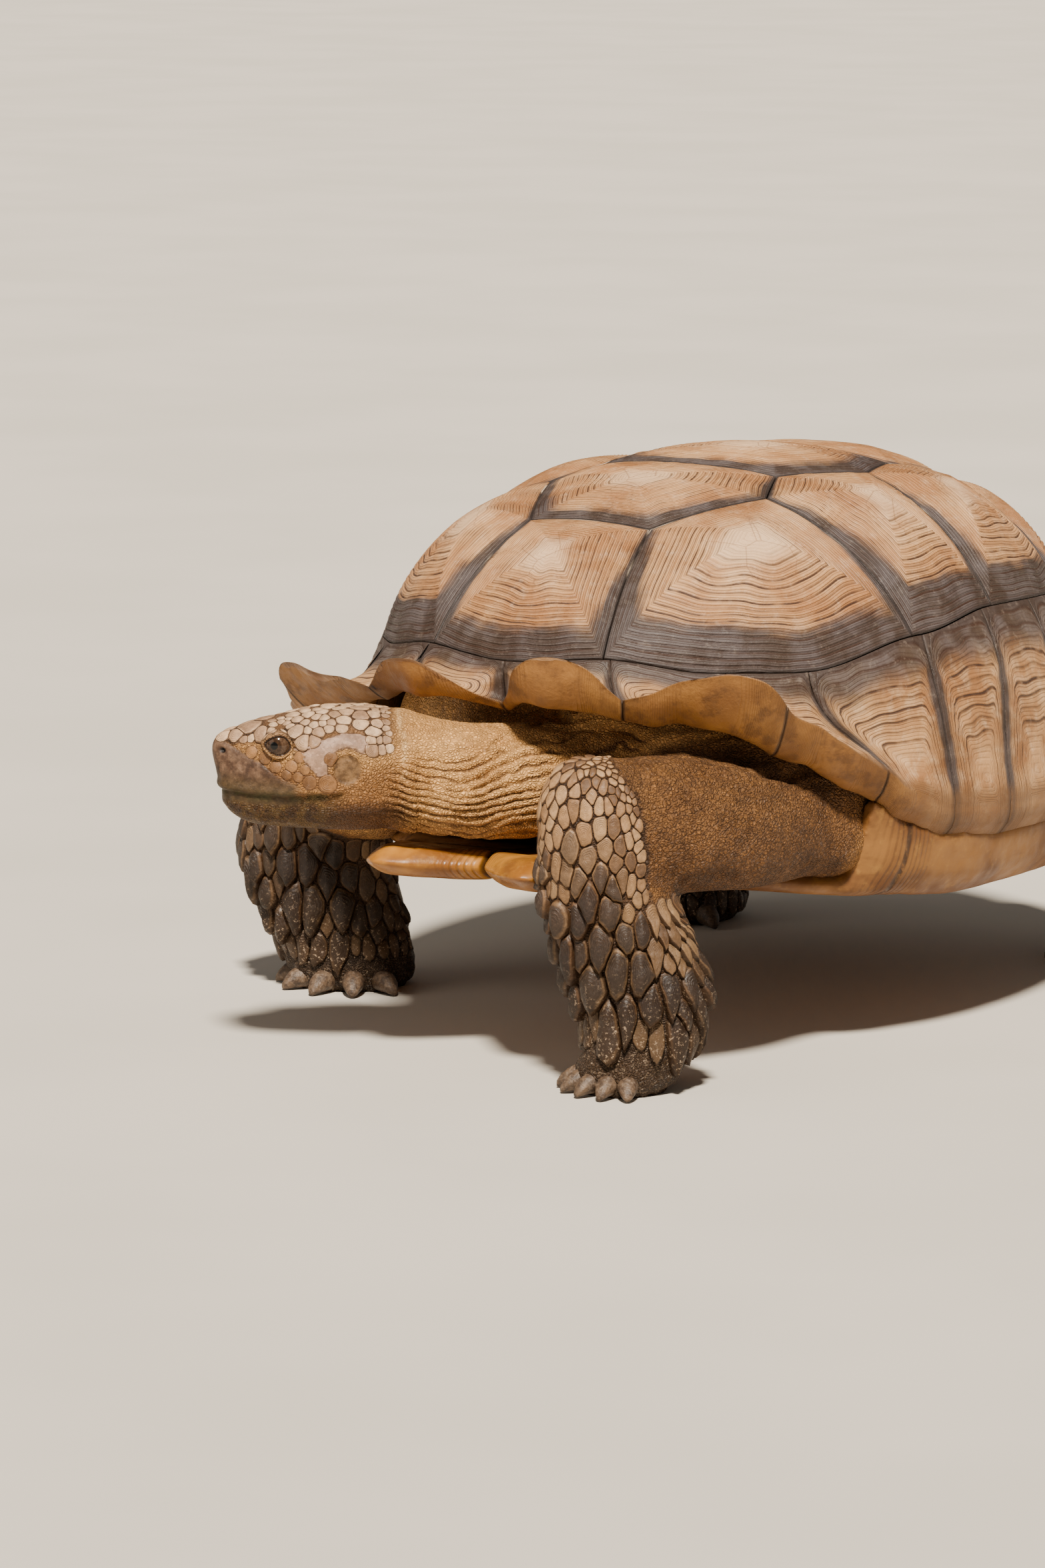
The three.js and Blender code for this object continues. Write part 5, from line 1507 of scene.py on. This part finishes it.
skin_triangles = triangles_of(skin)
joint = np.zeros(len(skin.vertices))  # 1 where the skin only shows in the joints between scales
skin_points = kdtree.KDTree(len(skin.vertices))
for index, v in enumerate(from_frame(coordinates(skin))):
    skin_points.insert(v, index)
skin_points.balance()
skin_tree = bvhtree.BVHTree.FromPolygons(
    [Vector(v) for v in from_frame(coordinates(skin))], [list(f.vertices) for f in skin.polygons]
)


def on_skin(points):
    """The nearest places on the skin and its normals there."""
    found = [skin_tree.find_nearest(Vector(p)) for p in points]
    return np.array([f[0] for f in found]), np.array([f[1] for f in found])


def spread(room, seed, rounds=14):
    """Evenly spread points with the room, a half spacing in millimetres, that each place asks for."""
    a, b, c = skin_triangles[:, 0], skin_triangles[:, 1], skin_triangles[:, 2]
    cross = np.cross(b - a, c - a)
    area = np.linalg.norm(cross, axis=1) / 2
    face_normal = unit(cross)
    half = room((a + b + c) / 3, face_normal)
    asked = np.where(half > 0, area / np.maximum(half, 0.1) ** 2, 0)
    count = int(asked.sum() / 3.46)
    rng = np.random.default_rng(seed)
    pick = rng.choice(len(asked), size=count * 22, p=asked / asked.sum())
    u, v = np.sqrt(rng.random(len(pick))), rng.random(len(pick))
    dust = a[pick] * (1 - u)[:, None] + b[pick] * (u * (1 - v))[:, None] + c[pick] * (u * v)[:, None]
    facing = face_normal[pick]
    key = np.hstack([dust * SPREAD_SHAPE, facing * 5])
    seeds = key[:count].copy()
    for _ in range(rounds):
        nearest = np.empty(len(key), dtype=int)
        square = (seeds**2).sum(axis=1)
        for start in range(0, len(key), 4000):
            part = key[start : start + 4000]
            nearest[start : start + 4000] = (square - 2 * part @ seeds.T).argmin(axis=1)
        share = np.maximum(np.bincount(nearest, minlength=count), 1)
        for axis in range(6):
            seeds[:, axis] = np.bincount(nearest, weights=key[:, axis], minlength=count) / share
    places, outward = on_skin(seeds[:, :3] / SPREAD_SHAPE)
    half = room(places, outward)
    kept = half > 0
    return places[kept], outward[kept], half[kept]


SPREAD_SHAPE = np.array([1.0, 1.0, 0.6])  # scales stand a little taller than they are wide

# %% [markdown]
# A scale's outline is worked out direction by direction. Each neighbour limits how far it may
# reach that way; taking a soft minimum of those limits rounds the corners. Then the scale
# domes up, lifts its lower end over the next one, and its rim is sunk into the skin.


# %% Shape the scales
def pave(name, room, tip, form, unwrap, material, seed):
    """Makes all scales of one region as one piece; form gives thickness, lift and point from size."""
    places, outward, half = spread(room, seed)
    count = len(places)
    down = tip(places)
    down = unit(down - (down * outward).sum(axis=1)[:, None] * outward)
    across = np.cross(outward, down)
    stretch = 1 / SPREAD_SHAPE[2] ** np.abs(down[:, 2])
    apart = places[None] - places[:, None]
    ax = (apart * across[:, None]).sum(axis=2)
    ay = (apart * down[:, None]).sum(axis=2) / stretch[:, None]
    facing = outward @ outward.T
    distance = np.hypot(ax, ay) + 60 * (facing < 0.1)
    np.fill_diagonal(distance, 1e6)
    near = np.argsort(distance, axis=1)[:, :10]
    row = np.arange(count)[:, None]
    d = distance[row, near]
    limit = d * half[:, None] / (half[:, None] + half[near])
    angle = np.arctan2(ay[row, near], ax[row, near])

    bm = bmesh.new()
    for _ in range(count):
        bm.from_mesh(one_scale)
    mesh = mesh_from(bm, name)
    disc = coordinates(one_scale)
    reach, height = np.hypot(disc[:, 0], disc[:, 1]), disc[:, 2]
    theta = np.arctan2(disc[:, 1], disc[:, 0])
    toward = np.maximum(np.cos(theta[None, :, None] - angle[:, None, :]), 0) / limit[:, None, :]
    free = 1 / (1.35 * half)[:, None]
    size = ((toward**SCALE_CORNERS).sum(axis=2) + free**SCALE_CORNERS) ** (-1 / SCALE_CORNERS) - SCALE_GAP
    thick, lift, point = form(half, places)
    along = np.sin(theta)[None] * reach[None]  # -1 at the root, 1 at the tip
    pointed = 1 + point[:, None] * np.maximum(np.sin(theta), 0)[None] ** 8
    x = np.cos(theta)[None] * reach[None] * size
    y = along * size * stretch[:, None] * pointed
    flat = places[:, None] + x[..., None] * across[:, None] + y[..., None] * down[:, None]
    ground, up = on_skin(flat.reshape(-1, 3))
    up = unit(up + outward.repeat(len(disc), axis=0) * 1.5)
    keel = 1 + 0.3 * np.exp(-((np.cos(theta)[None] * reach[None] / 0.25) ** 2)) * (half > 7)[:, None]
    raise_by = np.where(height > 0, height, 0)[None] * thick[:, None] * keel
    raise_by = raise_by + lift[:, None] * step_between(-0.7, 1, along) * (height > 0)[None]
    raise_by = np.where(height[None] < 0, height[None], raise_by)
    rough = lumps(ground, 4.5, seed).reshape(count, -1) * 0.12 * np.minimum(thick, 2)[:, None] * (height > 0.2)[None]
    spots = ground + up * (raise_by + rough).reshape(-1, 1)
    spots[:, 2] = np.maximum(spots[:, 2], 0.3)
    move_to(mesh, to_frame(spots))

    rng = np.random.default_rng(seed + 1)
    store(mesh, "tone", rng.random(count).repeat(len(disc)))
    store(mesh, "big", step_between(5, 8.2, half).repeat(len(disc)))
    store(mesh, "edge", np.tile(reach, count))
    store(mesh, "along", (along * np.ones((count, 1))).ravel())
    bake = mesh.uv_layers.new(name="OFBake")
    patch = (0.0012 + 0.0028 * step_between(5, 11, half))[:, None, None]
    spot = unwrap(places, outward)[:, None] + patch * disc[None, :, :2]
    corner = np.empty(len(mesh.loops), dtype=np.int32)
    mesh.loops.foreach_get("vertex_index", corner)
    bake.data.foreach_set("uv", spot.reshape(-1, 2)[corner].astype(np.float32).ravel())
    finish_piece(name, mesh, material, "skin")
    for place, size_here in zip(places, half / SPREAD_SHAPE[2]):
        for spot, index, gap_here in skin_points.find_range(Vector(place), 1.5 * size_here):
            joint[index] = max(joint[index], float(step_between(1.5, 1.1, gap_here / size_here)))
    print(name, count, "scales,", len(mesh.polygons), "faces")


SCALE_GAP = 0.12
SCALE_CORNERS = 11  # the more, the sharper the corners between neighbours

# %% [markdown]
# Small scales are cream to tan. The big ones are dark grey-brown horn in the middle with a tan
# rim, and fine growth lines run round them. Soil fills the joints and dusts the lower ones.


# %% Horn of the scales
def horn_of_scales(name, pale, tan, dark, dust_height):
    paint = Paint(name, roughness=0.5, specular=0.28, deepen=1.22)
    tone, edge, along = paint.attribute("tone"), paint.attribute("edge"), paint.attribute("along")
    colour = paint.mix(tone, pale, tan)
    blotch = paint.clouds(0.009, 4, 0.6)
    middle = paint.math("ADD", edge, paint.math("MULTIPLY", blotch, 0.5))
    core = paint.math("MULTIPLY", paint.span(middle, 0.95, 1.25, 1, 0), paint.attribute("big"))
    colour = paint.mix(paint.math("MULTIPLY", core, 0.9), colour, dark)
    some_dark = paint.math("MULTIPLY", paint.span(tone, 0.55, 0.85), paint.span(edge, 0.95, 0.6))
    colour = paint.mix(paint.math("MULTIPLY", some_dark, 0.6), colour, dark)
    lines = paint.math("FRACT", paint.math("ADD", paint.math("MULTIPLY", edge, 6), paint.math("MULTIPLY", blotch, 1.5)))
    line = paint.span(paint.math("ABSOLUTE", paint.math("SUBTRACT", lines, 0.5)), 0.05, 0.3, 1, 0)
    line = paint.math("MULTIPLY", line, paint.span(along, 0.3, -0.5, 0.25, 1))
    colour = paint.mix(paint.math("MULTIPLY", line, 0.35), colour, (0.16, 0.09, 0.05))
    colour = paint.shade(colour, paint.span(paint.clouds(0.004, 4, 0.7), 0.3, 0.7, 0.82, 1.16))
    colour = paint.mix(paint.span(edge, 0.86, 0.97, 0, 0.85), colour, (0.09, 0.045, 0.02))
    height = paint.tree.nodes.new("ShaderNodeSeparateXYZ")
    paint.tree.links.new(paint.place, height.inputs[0])
    low = paint.span(height.outputs["Z"], 0.01, dust_height, 1, 0)
    colour = paint.mix(paint.math("MULTIPLY", low, 0.6), colour, (0.12, 0.065, 0.03))
    # painted shade: the scales grow darker towards the ground, under the body
    colour = paint.shade(colour, paint.span(height.outputs["Z"], 0.07, 0.2, 0.46, 1))
    dust = paint.math("MULTIPLY", paint.span(paint.clouds(0.0026, 4, 0.8), 0.56, 0.64), paint.math("ADD", low, 0.1))
    colour = paint.mix(paint.math("MULTIPLY", dust, 0.7), colour, (0.55, 0.42, 0.3))
    relief = paint.math("SUBTRACT", paint.clouds(0.0022, 4), paint.math("MULTIPLY", line, 0.45))
    return paint.finish(colour, relief, 0.0005, paint.span(paint.clouds(0.006, 3), 0.3, 0.7, 0.4, 0.62))


leg_scale_horn = horn_of_scales("leg_scale_horn", (0.46, 0.3, 0.165), (0.29, 0.16, 0.078), (0.066, 0.046, 0.038), 0.1)
crown_scale_horn = horn_of_scales("crown_scale_horn", (0.62, 0.44, 0.29), (0.42, 0.27, 0.165), (0.3, 0.19, 0.12), 0.01)
cheek_scale_horn = horn_of_scales("cheek_scale_horn", (0.34, 0.185, 0.08), (0.24, 0.125, 0.052), (0.16, 0.085, 0.04), 0.01)

# %% Places round an upright leg
FORELEG_LEFT = [
    [101, -337, 221, 16, 14], [104, -334, 198, 40, 33], [104.5, -333, 177, 43.5, 36], [109, -330.5, 128, 43, 34],
    [120, -323.5, 93, 47, 34], [128.5, -318, 50, 41.5, 34], [122, -322, 12, 36, 38], [119, -324, 0, 32, 35],
]
FORELEG_RIGHT = [
    [-244, -158, 168, 20, 18], [-251, -153, 144, 48, 39], [-256, -149, 119, 54, 41], [-256, -147, 90, 55, 40],
    [-252, -144, 66, 53, 39], [-244, -139, 41, 50, 38], [-235, -133, 0, 44, 38],
]
HINDLEG = {
    side: [[side * 170, y - 20, 152, 22, 26], [side * 178, y - 6, 122, 44, 50], [side * 180, y + 5, 62, 42, 42],
           [side * 180, y - 2, 0, 43, 43]]
    for side, y in ((1, 262), (-1, 222))
}


def round_leg(points, stations, side):
    """Places across and along a leg, in half widths and half depths."""
    table = np.array(stations, dtype=float)[::-1]
    at = [np.interp(points[:, 2], table[:, 2], table[:, k]) for k in (0, 1, 3, 4)]
    flat = points[:, :2] - np.column_stack(at[:2])
    ahead = np.array([-side[1], side[0]])
    return flat @ side / at[2], flat @ ahead / at[3]


def downwards(points):
    return np.tile([0.0, 0.0, -1.0], (len(points), 1))


def foreleg_form(half, points):
    big = step_between(5, 11, half)
    outer = ((points - [112, -328, 0]) @ np.append(FORE_SIDE, 0) > 26) & (points[:, 0] > 0) & (points[:, 2] < 128)
    return 1.0 + 4.0 * big, 0.8 + 3.4 * big + 2.6 * outer, 0.12 + 0.2 * big + 0.5 * outer


def leg_unwrap(middle_x, middle_y, corner):
    """The skin of a leg unrolled into a square of the bake map."""
    def unrolled(points, outward):
        turn = np.arctan2(points[:, 1] - middle_y, points[:, 0] - middle_x) / (2 * math.pi) + 0.5
        return np.column_stack([corner[0] + 0.02 + turn * 0.2, corner[1] + 0.02 + points[:, 2] / 240 * 0.42])
    return unrolled


# %% Scales of the left foreleg
def left_foreleg_room(points, outward):
    across, along = round_leg(points, FORELEG_LEFT, FORE_SIDE)
    z = points[:, 2]
    half = keyed([(0, 4.2), (26, 4.6), (40, 7.5), (62, 10.6), (112, 10.2), (136, 8.6), (158, 7), (180, 5.4), (204, 4.3), (222, 3.7)], z)
    half = half * (1 + 0.42 * lumps(points, 26, 2.0) + 0.6 * lumps(points, 11, 5.0) * step_between(170, 130, z))
    half = np.maximum(half, 3.6)
    half = half * (1 - 0.52 * step_between(0.15, 0.62, across) * step_between(60, 110, z))
    half = np.where(along > 0.25, np.minimum(half, 4.8), half)
    shoulder = (across > 0.62) & (z > 128) | (along > 0.3) & (z > 105)
    inside = (np.abs(across) < 1.25) & (np.abs(along) < 1.25) & (z > 38) & (z < 222) & ~shoulder
    inside &= (outward[:, 2] > -0.75) & (head_places(points)[0] < -20)
    return np.where(inside, half, 0)


pave("foreleg_left_scales", left_foreleg_room, downwards, foreleg_form, leg_unwrap(112, -328, (0, 0)), leg_scale_horn, 21)


# %% Scales of the right foreleg
def right_foreleg_room(points, outward):
    across, along = round_leg(points, FORELEG_RIGHT, FORE_SIDE)
    z = points[:, 2]
    half = keyed([(0, 4.4), (26, 5), (45, 8.6), (70, 10.4), (110, 9.4), (135, 7), (158, 5.4), (170, 4.4)], z)
    half = half * (1 + 0.35 * lumps(points, 24, 7.0) + 0.5 * lumps(points, 12, 3.0)) * (1 - 0.35 * step_between(0.1, 0.8, across))
    half = np.where(along > 0.4, np.minimum(half, 5.2), half)
    inside = (np.abs(across) < 1.25) & (np.abs(along) < 1.3) & (z > 29) & (z < 168)
    inside &= ~((across > 0.35) & (along > 0) & (z > 95)) & (outward[:, 2] > -0.75)
    return np.where(inside, half, 0)


pave("foreleg_right_scales", right_foreleg_room, downwards, foreleg_form, leg_unwrap(-248, -144, (0.25, 0)), leg_scale_horn, 31)


# %% Scales of the hind legs
def hindleg_room(side, y):
    def room(points, outward):
        across, along = round_leg(points, HINDLEG[side], LEVEL_SIDE)
        z = points[:, 2]
        half = keyed([(0, 5), (30, 6.4), (60, 7), (100, 5.6), (140, 4.4)], z) * (1 + 0.25 * lumps(points, 22, 3.0 + side))
        inside = (np.abs(across) < 1.25) & (np.abs(along) < 1.25) & (z > 13) & (z < 128) & (outward[:, 2] > -0.75)
        inside &= ~((across * side < -0.3) & (z > 92))
        return np.where(inside, half, 0)
    return room


for side, y, corner in ((1, 262, (0.5, 0)), (-1, 222, (0.75, 0))):
    word = "left" if side > 0 else "right"
    pave(f"hindleg_{word}_scales", hindleg_room(side, y), downwards, foreleg_form,
         leg_unwrap(side * 180, y, corner), leg_scale_horn, 41 + side)


# %% Scales of the head
def head_measures(points, outward):
    """Places on the head, and whether scales are kept off: temple, ear, eye and beak."""
    along, aside, height = head_places(points)
    side_face = np.abs(outward @ head_left) > 0.45
    smooth = (temple_share(along, height) > 0.2) & side_face
    ear = (ear_ring(along, height) < 1.18) & side_face
    eye = (eye_ring_at(along, height) < 2.3) & (np.abs(outward @ head_left) > 0.2)
    bare = smooth | ear | eye | (np.abs(aside) > 60) | (along < 4) | (height < 130)
    return along, aside, height, bare


def crown_room(points, outward):
    along, aside, height, bare = head_measures(points, outward)
    half = keyed([(0, 2.2), (8, 3.0), (18, 4.8), (40, 5.0), (56, 4.2), (66, 6.2), (80, 7.8), (94, 8.4), (106, 6.4), (115, 4.4)], along)
    half = half * (1 + 0.35 * lumps(points, 16, 5.0) + 0.5 * lumps(points, 7, 3.0))
    half = np.where((eye_ring_at(along, height) < 3.4) & (np.abs(aside) > 8), np.minimum(half, 2.7), half)
    lowest = keyed([(0, 216), (20, 215), (58, 219), (64, 222), (92, 224), (100, 219), (116, 220)], along)
    return np.where(~bare & (height > lowest) & (along < 115), np.maximum(half, 2), 0)


def cheek_room(points, outward):
    along, aside, height, bare = head_measures(points, outward)
    half = keyed([(30, 3.2), (40, 4.6), (56, 5), (62, 3.2), (80, 3.2), (100, 3.4)], along) * (1 + 0.3 * lumps(points, 12, 1.0))
    lowest = np.maximum(mouth_height(along) + 3.5, np.where(along > 62, np.interp(along, BEAK_EDGE[::-1, 0], BEAK_EDGE[::-1, 2]) + 1.5, 0))
    face = (along > 40) & (along < 104) & (height < 216) & (height > lowest) & (np.abs(outward @ head_left) > 0.35)
    return np.where(~bare & face, half, 0)


def toward_nape(points):
    return np.tile(-head_ahead, (len(points), 1))


def crown_form(half, points):
    return keyed([(2, 0.5), (4.6, 1.25), (7, 1.0)], half), 0 * half, 0 * half


def cheek_form(half, points):
    return keyed([(2, 0.35), (4.6, 0.6)], half), 0 * half, 0 * half


def head_unwrap(points, outward):
    along, aside, height = head_places(points)
    turn = np.arctan2(aside, height - 190)
    return np.column_stack([0.1 + along / 130 * 0.4, 0.7 + turn / math.pi * 0.2])


SPREAD_SHAPE = np.array([1.0, 1.0, 1.0])
SCALE_GAP = 0.03
SCALE_CORNERS = 18
pave("crown_scales", crown_room, toward_nape, crown_form, head_unwrap, crown_scale_horn, 51)
pave("cheek_scales", cheek_room, toward_nape, cheek_form, head_unwrap, cheek_scale_horn, 52)
store(skin, "joint", joint)

# %% [markdown]
# ## Floor, light and camera
#
# A plain pale floor and soft light from above and in front show the shapes without hiding the
# colours. The camera stands low in front of the animal's left shoulder and looks along a long
# lens, so the shell looms behind the head as it does beside a real one.

# %% Floor
def pale_floor():
    paint = Paint("floor_paint", roughness=0.85)
    colour = paint.mix(paint.span(paint.clouds(0.4, 3), 0.3, 0.7), (0.58, 0.525, 0.455), (0.54, 0.49, 0.42))
    return paint.finish(colour)


bm = bmesh.new()
bmesh.ops.create_grid(bm, x_segments=2, y_segments=2, size=40)
floor = bpy.data.objects.new("floor", mesh_from(bm, "floor"))
floor.data.materials.append(pale_floor())
bpy.context.scene.collection.objects.link(floor)


# %% Light
def soft_sun(name, side, strength, spread, colour):
    """Even light from one side of the sky, softened over a spread in degrees."""
    lamp = bpy.data.lights.new(name, "SUN")
    lamp.energy = strength
    lamp.angle = math.radians(spread)
    lamp.color = colour
    thing = bpy.data.objects.new(name, lamp)
    thing.location = side
    thing.rotation_euler = (-Vector(side)).to_track_quat("-Z", "Y").to_euler()
    bpy.context.scene.collection.objects.link(thing)


soft_sun("key", (0.36, -0.52, 0.9), 9.2, 7, (1.0, 0.93, 0.82))
soft_sun("fill", (-0.6, -0.9, 0.5), 0.5, 40, (1.0, 0.93, 0.84))
world = bpy.data.worlds.new("studio")
world.use_nodes = True
world.node_tree.nodes["Background"].inputs["Color"].default_value = (1.0, 0.97, 0.92, 1)
world.node_tree.nodes["Background"].inputs["Strength"].default_value = 0.2
bpy.context.scene.world = world

# %% Camera
IMAGE_WIDTH, IMAGE_HEIGHT = 1568, 2352
VIEW_AZIMUTH, VIEW_DROP = 58, 11.3  # degrees
DISTANCE = 4.5  # metres to the middle of the shell, at floor level
PIXELS_PER_MM = 2.105  # at that distance
MIDDLE_RIGHT, MIDDLE_DOWN = 318, 305.5  # where the shell's middle shows, from the image's centre

turn, drop = math.radians(VIEW_AZIMUTH), math.radians(VIEW_DROP)
forward = Vector((-math.cos(turn) * math.cos(drop), math.sin(turn) * math.cos(drop), -math.sin(drop)))
rightward = Vector((math.sin(turn), math.cos(turn), 0))
upward = rightward.cross(forward)
focal = PIXELS_PER_MM * DISTANCE / MM
look = (forward * focal - rightward * MIDDLE_RIGHT + upward * MIDDLE_DOWN).normalized()
camera = bpy.data.objects.new("camera", bpy.data.cameras.new("camera"))
camera.location = Vector(middle) - forward * DISTANCE
camera.rotation_euler = look.to_track_quat("-Z", "Y").to_euler()
camera.data.sensor_width = 36
camera.data.lens = focal / IMAGE_HEIGHT * 36
bpy.context.scene.collection.objects.link(camera)
bpy.context.scene.camera = camera
print("camera at", tuple(round(v, 3) for v in camera.location), "lens", round(camera.data.lens, 1))
